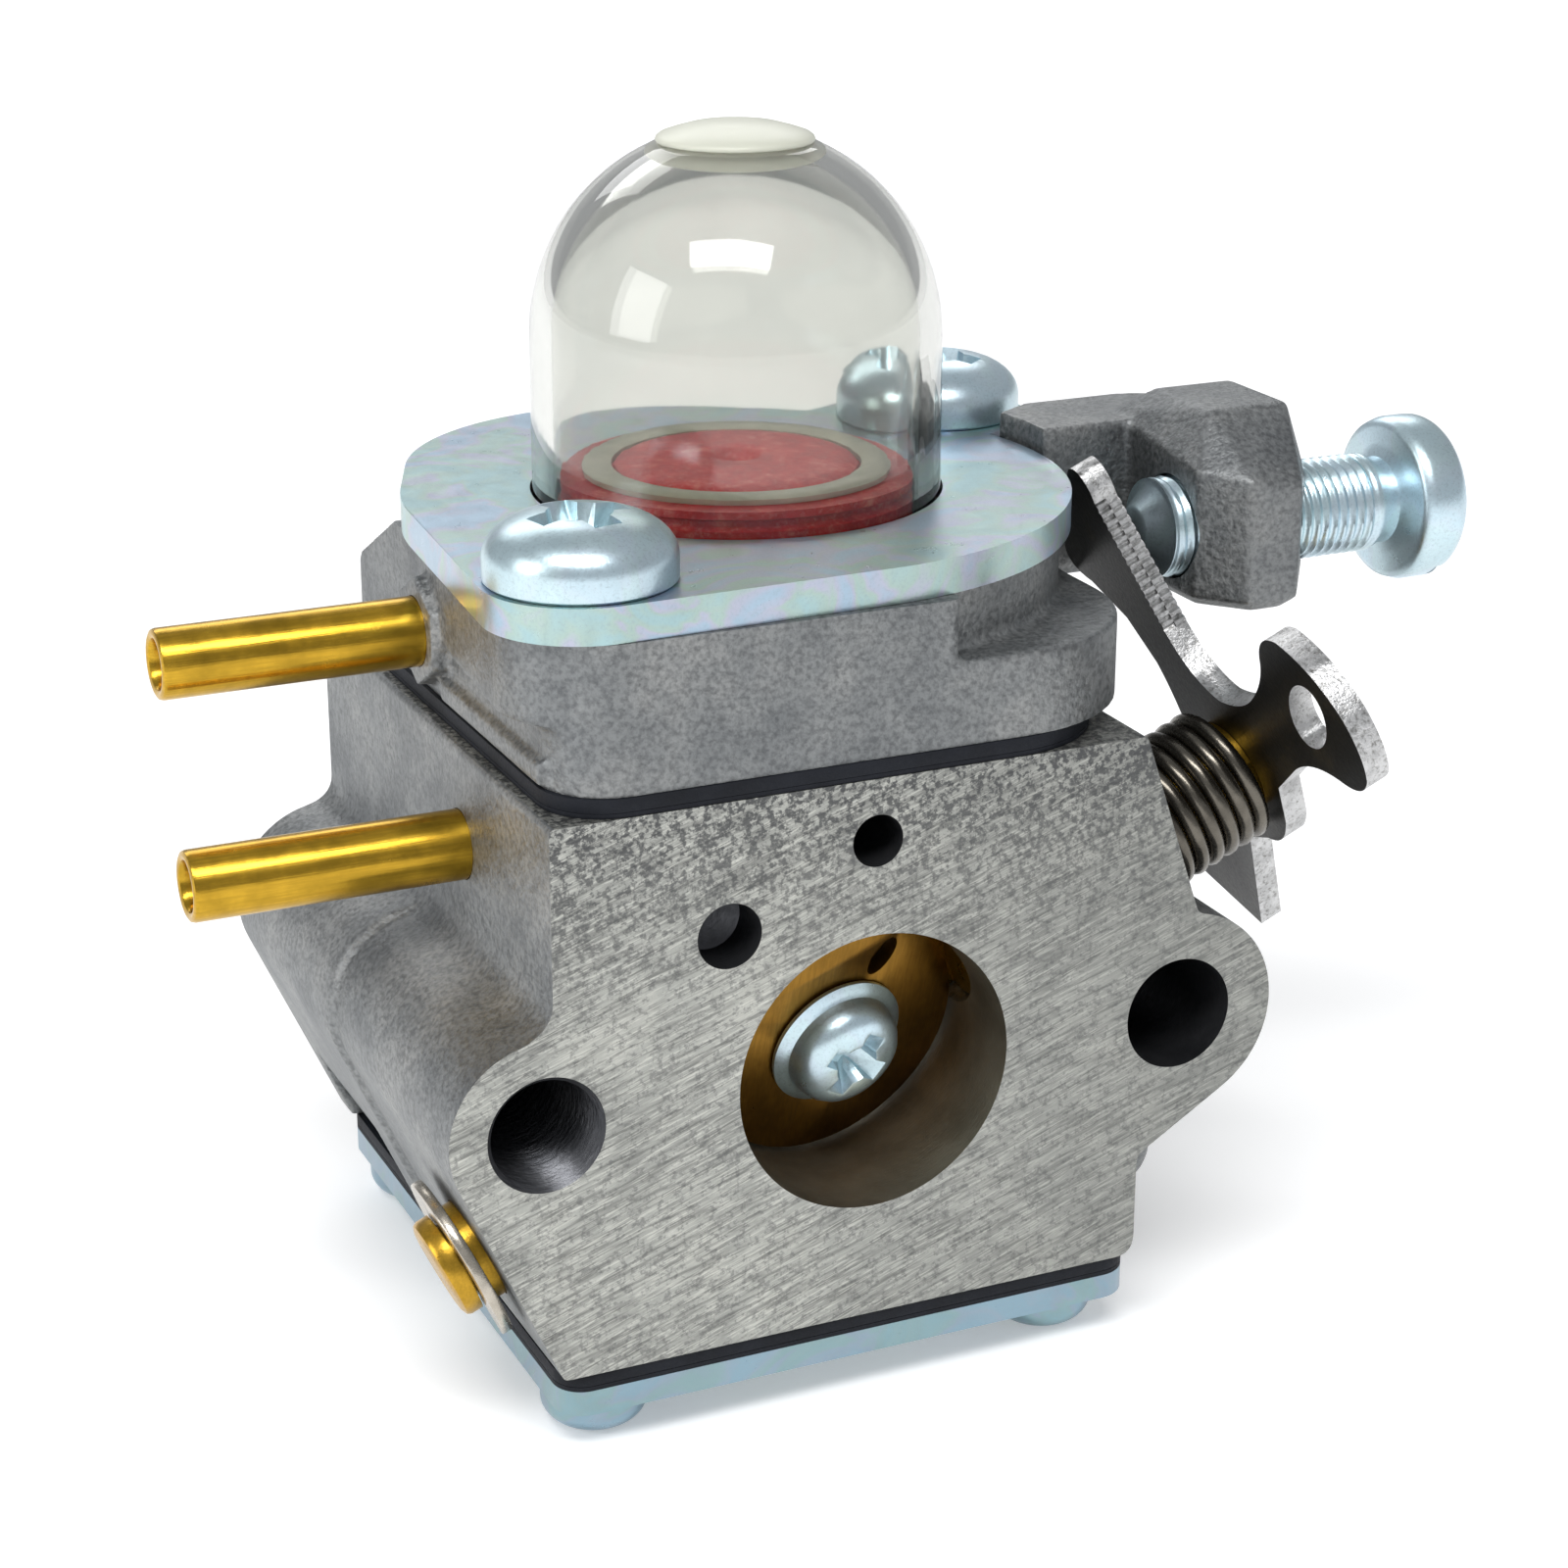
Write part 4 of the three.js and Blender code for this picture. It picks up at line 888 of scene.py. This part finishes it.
def retainer_plate():
    low, high = CASTING_TOP + SEAM, CASTING_TOP + SEAM + 1.6
    plate = join(slab(round_discs(PLATE_DISCS), low, high), slab(round_discs(REAR_LOBE), low, high))
    cut(
        plate,
        rod(BULB_R + 0.12, 20, 24, 128, at(BULB_X, BULB_Y, 0)),
        *[rod(2.15, 20, 24, 48, at(*place, 0)) for place in (RETAINER_FRONT, RETAINER_REAR)],
    )
    bevel(plate, 0.22, 3)
    finish_piece(plate, "retainer_plate_pressed", "plate", "casting", ["retainer_plate"])


def gaskets():
    outline = rounded_box(-14.5, 0.05, 12.6, 30.7, (3.0, 5.5, 4, 4))
    passages = [(-11.0, LOWER_TUBE[0], 1.0), (0, 4.4, 1.0), (*RETAINER_FRONT, 2.1)]
    diaphragm = sheet(outline, *PUMP_DIAPHRAGM, 0.05, passages)
    finish_piece(diaphragm, "pump_diaphragm_sheet", "gasket", "casting", ["pump_diaphragm"])
    gasket = sheet(outline, *PUMP_GASKET, 0.14, passages)
    finish_piece(gasket, "pump_gasket_sheet", "gasket", "casting", ["pump_gasket"])

    holes = [(*CHAMBER, 10.8)] + [(x, y, 1.4) for x, y in COVER_SCREWS]
    metering = sheet(METERING_OUTLINE, *METERING_GASKET, 0.14, holes)
    finish_piece(metering, "metering_gasket_sheet", "gasket", "casting", ["metering_gasket"])


def metering_cover():
    low, high = METERING_COVER
    cover = slab(METERING_OUTLINE, low, high)
    groove = [(6.9, low + 0.22), (6.6, low - 0.1), (8.6, low - 0.1), (8.3, low + 0.22), (6.9, low + 0.22)]
    cut(
        cover,
        lathe([(0, high - 0.6), (9.6, high - 0.6), (10.0, high + 1), (0, high + 1)], 96, at(*CHAMBER, 0)),
        rod(0.8, low - 1, high + 1, 32, at(*CHAMBER, 0)),
        *[rod(1.45, low - 1, high + 1, 32, at(x, y, 0)) for x, y in COVER_SCREWS],
        lathe(groove, 96, at(*CHAMBER, 0)),
    )
    bevel(cover, 0.16, 3)
    # the cover takes the darker zinc copy, painted shade for its underside
    finish_piece(cover, "metering_cover_pressed", "cover", "casting", ["metering_cover"])


# ------------------------------------------------------------------ screws
def cross_recess(top, half, depth, where):
    """A cutter for a cross recess that narrows as it goes down."""
    mouth = (half, half * 0.3)
    floor = (half * 0.45, half * 0.3 * 0.7)
    arms = [frustum(mouth, floor, top + 0.01, top - depth, where @ spin(turn)) for turn in (0, 90)]
    lid = top + 0.02
    cone = [(0, top - depth - half * 0.25), (half * 0.5, top - depth * 0.7), (half * 0.62, lid), (0, lid)]
    return join(*arms, lathe(cone, 32, where))


def pan_screw(head_r, head_t, thread_r, length, flat, recess, where):
    rim = head_t * 0.35
    profile = [
        (0, -length), (thread_r, -length + 0.4), (thread_r, -0.02),
        (head_r - 0.12, 0), (head_r, 0.12), (head_r, rim),
    ]
    profile += rounding(flat, rim, head_r - flat, head_t - rim, 10)
    screw = lathe(profile + [(0, head_t)], 96, where)
    cut(screw, cross_recess(head_t, recess, head_t * 0.62, where))
    return bevel(screw, 0.07, 2, 38)


def screws():
    top = CASTING_TOP + 1.64
    for place, (x, y), turn in (("front", RETAINER_FRONT, 12), ("rear", RETAINER_REAR, 40)):
        where = at(x, y, top) @ spin(turn)
        screw = pan_screw(4.15, 2.9, 2.0, 8.4, 1.2, 2.3, where)
        node = f"retainer_screw_{place}"
        finish_piece(screw, f"{node}_turned", "zinc", "casting", [node])
    for i, (x, y) in enumerate(COVER_SCREWS):
        where = at(x, y, METERING_COVER[0] - SEAM) @ spin(180, "X") @ spin(20 + 35 * i)
        screw = pan_screw(2.45, 1.9, 1.25, 5.6, 0.9, 1.25, where)
        node = f"cover_screw_{i + 1}"
        # the cover screws take the darker zinc copy, painted shade for the underside
        finish_piece(screw, f"{node}_turned", "cover", "casting", [node])


def threaded_rod(r, low, high, depth, where, sides=48):
    """A screw thread as one helical surface, fading out at both ends."""
    pitch = 0.5
    steps_per_pitch = 8
    bm = bmesh.new()
    count = int((high - low) / pitch * steps_per_pitch)
    rings = [[bm.verts.new(where @ Vector((0, 0, low)))]]
    for k in range(count + 1):
        h = low + (high - low) * k / count
        fade = min(1.0, (h - low) / pitch, (high - h) / pitch)
        ring = []
        for i in range(sides):
            a = 2 * math.pi * i / sides
            phase = (h / pitch - i / sides) % 1.0
            groove = (1 - abs(2 * phase - 1)) ** 0.8
            radius = r - depth * groove * fade - 0.04 * (1 - fade)
            ring.append(bm.verts.new(where @ Vector((radius * math.cos(a), radius * math.sin(a), h))))
        rings.append(ring)
    rings.append([bm.verts.new(where @ Vector((0, 0, high)))])
    skin(bm, rings)
    return from_bmesh(bm)


def idle_screw():
    where = at(0, IDLE_Y, IDLE_Z) @ X_UP
    tip, cone_end, head_left, head_right = 18.9, 20.1, 32.9, 35.7
    r, head_r = 2.42, 4.0
    threads = threaded_rod(r, cone_end - 0.2, head_left - 1.4, 0.2, where)
    cone = lathe([(0, tip), (1.0, tip), (1.2, tip + 0.12), (r - 0.25, cone_end), (0, cone_end)], 64, where)
    neck = head_left - 1.9
    edge = head_right - 1.1
    head = [
        (0, neck), (r - 0.12, neck), (r - 0.12, neck + 0.7), (r - 0.35, neck + 1.2), (r - 0.3, neck + 1.6),
        (r + 0.35, head_left), (head_r - 0.5, head_left), (head_r - 0.15, head_left + 0.15),
        (head_r, head_left + 0.6), (head_r, edge),
    ]
    head += rounding(head_r - 1.2, edge, 1.2, 1.1, 8) + [(0, head_right)]
    screw = join(threads, cone, lathe(head, 96, where))
    cut(screw, block((-1.2, -6, -0.55), (1.2, 6, 0.55), at(head_right, IDLE_Y, IDLE_Z) @ spin(55, "X")))
    node = "idle_speed_screw"
    finish_piece(screw, f"{node}_threaded", "zinc", "idle_screw", [node], 50)


# ------------------------------------------------------------------ tubes, needles
def fuel_tubes():
    r, hole = 1.6, 1.05
    for node, (y, z), outer, inner in (
        ("inlet_tube", UPPER_TUBE, -27.1, -10.65),
        ("return_tube", LOWER_TUBE, -27.6, -9.65),
    ):
        profile = [
            (hole, outer + 0.3), (hole + 0.12, outer + 0.06), (hole + 0.25, outer), (r - 0.18, outer),
            (r - 0.05, outer + 0.07), (r, outer + 0.22), (r, inner), (hole, inner), (hole, outer + 0.3),
        ]
        tube = lathe(profile, 96, at(0, y, z) @ X_UP)
        finish_piece(tube, f"{node}_drawn", "tube", "casting", [node])


def mixture_needles():
    for name, (y, z, _, right) in TOWERS.items():
        where = at(0, y, z) @ X_UP
        end = right - 0.5  # sunk a little in its tower
        shank = threaded_rod(1.75, 12.1, end - 0.4, 0.16, where, 32)
        taper = [
            (0, 7.9), (0.2, 7.92), (0.35, 8.1), (1.1, 11.1), (1.1, 11.5), (1.5, 12.3), (1.5, 12.5), (0, 12.5),
        ]
        point = lathe(taper, 48, where)
        neck = end - 0.7
        head = lathe([(0, neck), (1.68, neck), (1.7, end - 0.15), (1.55, end), (0, end)], 64, where)
        needle = join(shank, point, head)
        cut(needle, block((-0.6, -3, -0.3), (0.8, 3, 0.3), at(end, y, z)))
        node = f"{name}_speed_needle"
        finish_piece(needle, f"{node}_turned", "turned", f"{name}_needle", [node])


# ------------------------------------------------------------------ primer
def primer():
    flange_bottom = CASTING_TOP - 1.05
    flange_top = CASTING_TOP - SEAM
    wall = 1.0
    dome_top = 39.3
    centre = dome_top - BULB_R
    inner = BULB_R - wall
    crown_r = 3.55
    crown_top = dome_top + 0.25
    where = at(BULB_X, BULB_Y, 0)

    shoulder = math.degrees(math.acos((crown_r - 0.05) / BULB_R))
    profile = [(0, flange_bottom), (10.6, flange_bottom), (10.6, flange_top), (BULB_R + 0.02, flange_top)]
    profile += arc(0, centre, BULB_R, 0, shoulder, 24)
    collar = profile[-1][1]
    dome = lathe(profile + [(0, collar)], 128, where)
    hollow = [(0, flange_bottom - 1), (inner, flange_bottom - 1)] + arc(0, centre, inner, 0, 90, 24)
    cut(dome, lathe(hollow, 128, where))
    # the thick moulded button at the top is frosted right through the wall
    paint(dome, 1, lambda c, n: c.z > centre + 4 and math.hypot(c.x - BULB_X, c.y - BULB_Y) < crown_r)
    finish_piece(dome, "primer_dome", ["clear", "frosted"], "casting", ["primer_bulb"], 50)
    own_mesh(dome)

    crown = lathe([
        (0, collar + 0.03), (crown_r, collar + 0.03), (crown_r + 0.03, collar + 0.1),
        (crown_r - 0.02, collar + 0.22), (crown_r - 0.16, collar + 0.33), (2.9, collar + 0.5),
        (2.1, crown_top - 0.2), (1.2, crown_top - 0.07), (0.5, crown_top), (0, crown_top - 0.03),
    ], 96, where)
    finish_piece(crown, "primer_crown", "frosted", "primer", (), 60)

    bottom, r, top = 19.2, 8.1, 23.85
    valve = lathe([
        (0, bottom), (r - 0.2, bottom), (r, bottom + 0.2), (r, top - 0.9), (r - 0.35, top - 0.75),
        (r - 0.35, top - 0.5), (r, top - 0.35), (r, top), (5.68, top), (5.6, top + 0.22),
        (5.35, top + 0.36), (4.6, top + 0.45), (2.4, top + 0.56), (1.25, top + 0.55), (1.05, top + 0.4),
        (0.9, top - 0.15), (0, top - 0.2),
    ], 128, where)
    finish_piece(valve, "primer_valve_moulded", "red", "casting", ["primer_valve"], 40)
    ring = lathe([
        (5.75, top + SEAM), (7.05, top + SEAM), (7.1, top + 0.28), (6.9, top + 0.4), (6.1, top + 0.4),
        (5.75, top + 0.3), (5.75, top + SEAM),
    ], 128, where)
    finish_piece(ring, "valve_ring_moulded", "nylon", "casting", ["valve_ring"], 40)


# ------------------------------------------------------------------ throttle
def throttle_shaft():
    turned = SHAFT @ IDLE
    r = 2.38
    profile = [
        (0, -20.6), (r - 0.35, -20.6), (r - 0.1, -20.5), (r, -20.3), (r, SHAFT_END - 0.25),
        (r - 0.1, SHAFT_END - 0.05), (r - 0.35, SHAFT_END), (0, SHAFT_END),
    ]
    shaft = lathe(profile, 96, turned)
    half = BORE_THROTTLE_R + 0.15
    flats = [block((-4, y - 1, LEVER_NEAR - SEAM), (4, y + 1, 28), turned) for y in (-2.75, 2.75)]
    cut(
        shaft,
        block((-6, -4, -half), (0, 4, half), turned),
        lathe([(1.75, -19.75), (4, -19.75), (4, -19.05), (1.75, -19.05), (1.75, -19.75)], 64, turned),
        rod(1.0, -5, 5, 32, turned @ X_UP),
        *flats,
    )
    finish_piece(shaft, "throttle_shaft_turned", "turned", "throttle", ["throttle_shaft"], 40)

    thick = 0.8
    plate_r = BORE_THROTTLE_R - 0.28
    lean = thick / 2 * math.tan(IDLE_ANGLE)
    stretch = plate_r / math.cos(IDLE_ANGLE)
    outline = [(lean + x * stretch, y * plate_r) for x, y in arc(0, 0, 1, 0, 357, 119)]
    blade_frame = turned @ SIDE @ at(0, 0, -thick - 2 * SEAM)
    plate = slab(outline, 0, thick, blade_frame)
    bleed = ellipse(3.2, 3.4, 1.05, 0.55, 0.9)
    cut(plate, slab(bleed, -1, 2, blade_frame), rod(1.15, -1, 2, 32, blade_frame))
    bevel(plate, 0.08, 2)
    finish_piece(plate, "throttle_plate_rolled", "blade", "throttle", ["throttle_plate"], 40)

    screw_frame = turned @ at(-thick - 3 * SEAM - 0.01, 0, 0) @ spin(-90, "Y") @ spin(35)
    screw = lathe([
        (0, -3.1), (0.9, -3.1), (0.9, 0), (3.2, 0), (3.33, 0.08), (3.33, 0.26), (2.95, 0.42), (2.75, 0.55),
        (2.68, 0.9), (2.6, 1.3), (2.35, 1.68), (1.9, 1.92), (1.2, 2.0), (0, 2.0),
    ], 96, screw_frame)
    cut(screw, cross_recess(2.0, 1.7, 1.3, screw_frame))
    bevel(screw, 0.05, 2, 40)
    node = "throttle_plate_screw"
    finish_piece(screw, f"{node}_turned", "zinc", "throttle", [node])


def lever_outline(tooth_offset):
    """The lever in the shaft frame, with fine teeth along the arm's front edge."""
    tip = [(5.0, 14.95)] + curve((5.0, 14.95), (4.3, 14.4), (4.4, 13.4))
    pitch = 0.42
    depth = 0.13
    toothed = []
    for start, end in (((4.4, 13.4), (3.3, 10.4)), ((3.3, 10.4), (2.0, 7.1))):
        start, end = Vector(start), Vector(end)
        run = end - start
        out = Vector((run.y, -run.x)).normalized()  # towards the front
        count = int(run.length / pitch)
        for i in range(count):
            middle = start + run * ((i + tooth_offset) / count)
            for shift, rise in ((0.0, 0.0), (0.12, depth), (0.3, depth), (0.42, 0.0)):
                toothed.append(tuple(middle + run.normalized() * shift + out * (rise - depth * 0.5)))
    rest = [(1.95, 6.95)]
    for control, point in (
        ((0.9, 4.6), (-1.2, 4.2)), ((-3.2, 4.3), (-4.7, 5.5)), ((-6.4, 6.9), (-7.0, 8.3)),
        ((-7.6, 10.2), (-9.3, 10.2)), ((-11.8, 9.6), (-13.1, 7.4)), ((-13.86, 5.6), (-13.3, 4.2)),
        ((-12.5, 2.9), (-10.7, 3.3)), ((-8.4, 3.6), (-6.6, 2.3)),
    ):
        rest += curve(rest[-1], control, point, 10)
    rest += [(-4.1, 0.3), (-3.5, -1.9)] + curve((-3.5, -1.9), (-2.6, -3.8), (-0.9, -3.9), 10)
    rest += [(1.2, -4.7), (3.8, -11.2), (8.8, -9.7)]
    for control, point in (((4.1, -3.2), (3.7, -0.2)), ((3.6, 2.6), (4.3, 4.5))):
        rest += curve(rest[-1], control, point, 10)
    rest += [(5.8, 6.6), (8.3, 7.9)] + curve((8.3, 7.9), (10.4, 8.2), (9.9, 9.5)) + [(8.2, 11.2)]
    rest += curve((8.2, 11.2), (7.1, 12.6), (6.5, 14.2)) + curve((6.5, 14.2), (5.8, 15.4), (5.0, 14.95))[:-1]
    return tip + toothed + rest


def throttle_lever():
    near, far = LEVER_NEAR, LEVER_NEAR + LEVER_THICK
    middle = near + LEVER_THICK * 0.5
    # the teeth of the two halves are half a pitch apart
    near_half = slab(lever_outline(0.0), near, middle + SEAM, SHAFT)
    lever = join(near_half, slab(lever_outline(0.5), middle, far, SHAFT))
    socket = rod(2.42, near - 1, far + 2, 64, SHAFT)
    flats = block((-4, -1.8, near - 2), (4, 1.8, far + 3), SHAFT @ IDLE)
    boolean(socket, [flats], "INTERSECT")
    cable_hole = slab(ellipse(-9.8, 6.4, 1.3, 2.1, 0.6), near - 1, far + 2, SHAFT)
    stop_hole = rod(0.55, near - 1, far + 2, 24, SHAFT @ at(4.4, -6.4, 0))
    cut(lever, socket, cable_hole, stop_hole)
    bevel(lever, 0.06, 2, 50)
    paint(lever, 1, lambda c, n: abs(n.dot(ALONG)) < 0.6)
    finish_piece(lever, "throttle_lever_punched", ["black_steel", "edge"], "throttle",
                 ["throttle_lever"], 40)


def throttle_spring():
    r, wire = 3.05, 0.4
    low, high = SHAFT_RIGHT + 0.62, LEVER_NEAR - 0.62
    turns = 6
    steps = 48 * turns
    coil = arc(0, 0, r, -100, -100 + 360 * turns, steps)
    points = [(x, y, low + (high - low) * i / steps) for i, (x, y) in enumerate(coil)]
    spring = sweep(points, wire, 16, SHAFT)
    node = "throttle_spring"
    finish_piece(spring, f"{node}_wound", "spring", "casting", [node], 60)


def shaft_clip():
    outline = arc(0, 0, 3.9, -62, 242, 60) + [(-1.25, -1.7)] + arc(0, 0, 1.95, 233, -53, 48)
    clip = bevel(slab(outline, -19.65, -19.15, SHAFT), 0.08, 2)
    finish_piece(clip, "shaft_clip_pressed", "clip", "throttle", ["shaft_clip"], 40)


# ------------------------------------------------------------------ pieces inside, as the CAD has them
def finish_inner_nodes():
    looks = {
        "gasket": ["metering_diaphragm"],
        "zinc": ["diaphragm_button", "metering_lever"],
        "turned": ["inlet_needle", "main_nozzle", "inlet_screen"],
        "spring": ["lever_pin", "metering_lever_spring"],
    }
    for material, nodes in looks.items():
        for name in nodes:
            node = frame["nodes"][name]
            node.data.materials.clear()
            node.data.materials.append(MATERIALS[material])
            node.data.shade_smooth()
            node.data.set_sharp_from_angle(angle=math.radians(40))


# ------------------------------------------------------------------ studio
def soft_lamp(name, where, target, width, height, watts):
    data = bpy.data.lights.new(name, "AREA")
    data.shape = "RECTANGLE"
    data.size, data.size_y = width, height
    data.energy = watts
    lamp = bpy.data.objects.new(name, data)
    bpy.context.scene.collection.objects.link(lamp)
    lamp.location = where
    lamp.rotation_euler = (Vector(target) - Vector(where)).to_track_quat("-Z", "Y").to_euler()
    return lamp


def studio():
    m = Nodes("table top")
    # the table glows a little more away from the carburetor, so that it stays white to its far edge
    distance = m.add("ShaderNodeVectorMath", operation="LENGTH")
    m.link(m.place, distance.inputs[0])
    away = m.rise(distance.outputs["Value"], 0.2, 0.8)
    m.set(
        Base_Color=m.ramp(m.noise(60, 2, 0.5), [(0.3, 0.9), (0.7, 0.93)]),
        Roughness=0.9,
        Specular_IOR_Level=0.1,
        Emission_Color=m.ramp(away, [(0.0, 0.28), (1.0, 0.66)]),
        Emission_Strength=1.0,
    )
    half = 3.0
    bm = bmesh.new()
    corners = [(-half, -half), (half, -half), (half, half), (-half, half)]
    bm.faces.new([bm.verts.new((x, y, cad_box[0].z)) for x, y in corners])
    floor = from_bmesh(bm, "floor")
    floor.data.materials.append(m.material)

    target = (0, 0, 0.025)
    soft_lamp("key light", (-0.12, -0.22, 0.42), target, 0.34, 0.12, 1.5)
    soft_lamp("left light", (-0.5, -0.05, 0.22), target, 0.25, 0.3, 0.9)
    soft_lamp("back light", (0.1, 0.45, 0.35), target, 0.5, 0.2, 0.8)

    world = bpy.data.worlds.new("studio")
    world.use_nodes = True
    background = world.node_tree.nodes["Background"]
    background.inputs["Color"].default_value = (0.95, 0.97, 1.0, 1)
    background.inputs["Strength"].default_value = 0.4
    bpy.context.scene.world = world
    bpy.context.scene.view_settings.view_transform = "Standard"


def camera():
    data = bpy.data.cameras.new("camera")
    data.lens = 76.594
    data.sensor_width = 36
    data.clip_start = 0.01
    made = bpy.data.objects.new("camera", data)
    bpy.context.scene.collection.objects.link(made)
    # level but for a slight roll, a little below eye height, from the front left
    made.location = BORE + Vector((-59.49, -120.48, 62.62)) * MM
    ahead = Vector((0.39016, 0.85444, -0.34308)).normalized()
    made.rotation_mode = "QUATERNION"
    roll = Matrix.Rotation(math.radians(-0.079), 3, ahead)
    made.rotation_quaternion = (roll @ ahead.to_track_quat("-Z", "Y").to_matrix()).to_quaternion()
    bpy.context.scene.camera = made


camera()
studio()
main_body()
pump_cover()
retainer_plate()
gaskets()
metering_cover()
screws()
idle_screw()
fuel_tubes()
mixture_needles()
primer()
throttle_shaft()
throttle_lever()
throttle_spring()
shaft_clip()
finish_inner_nodes()
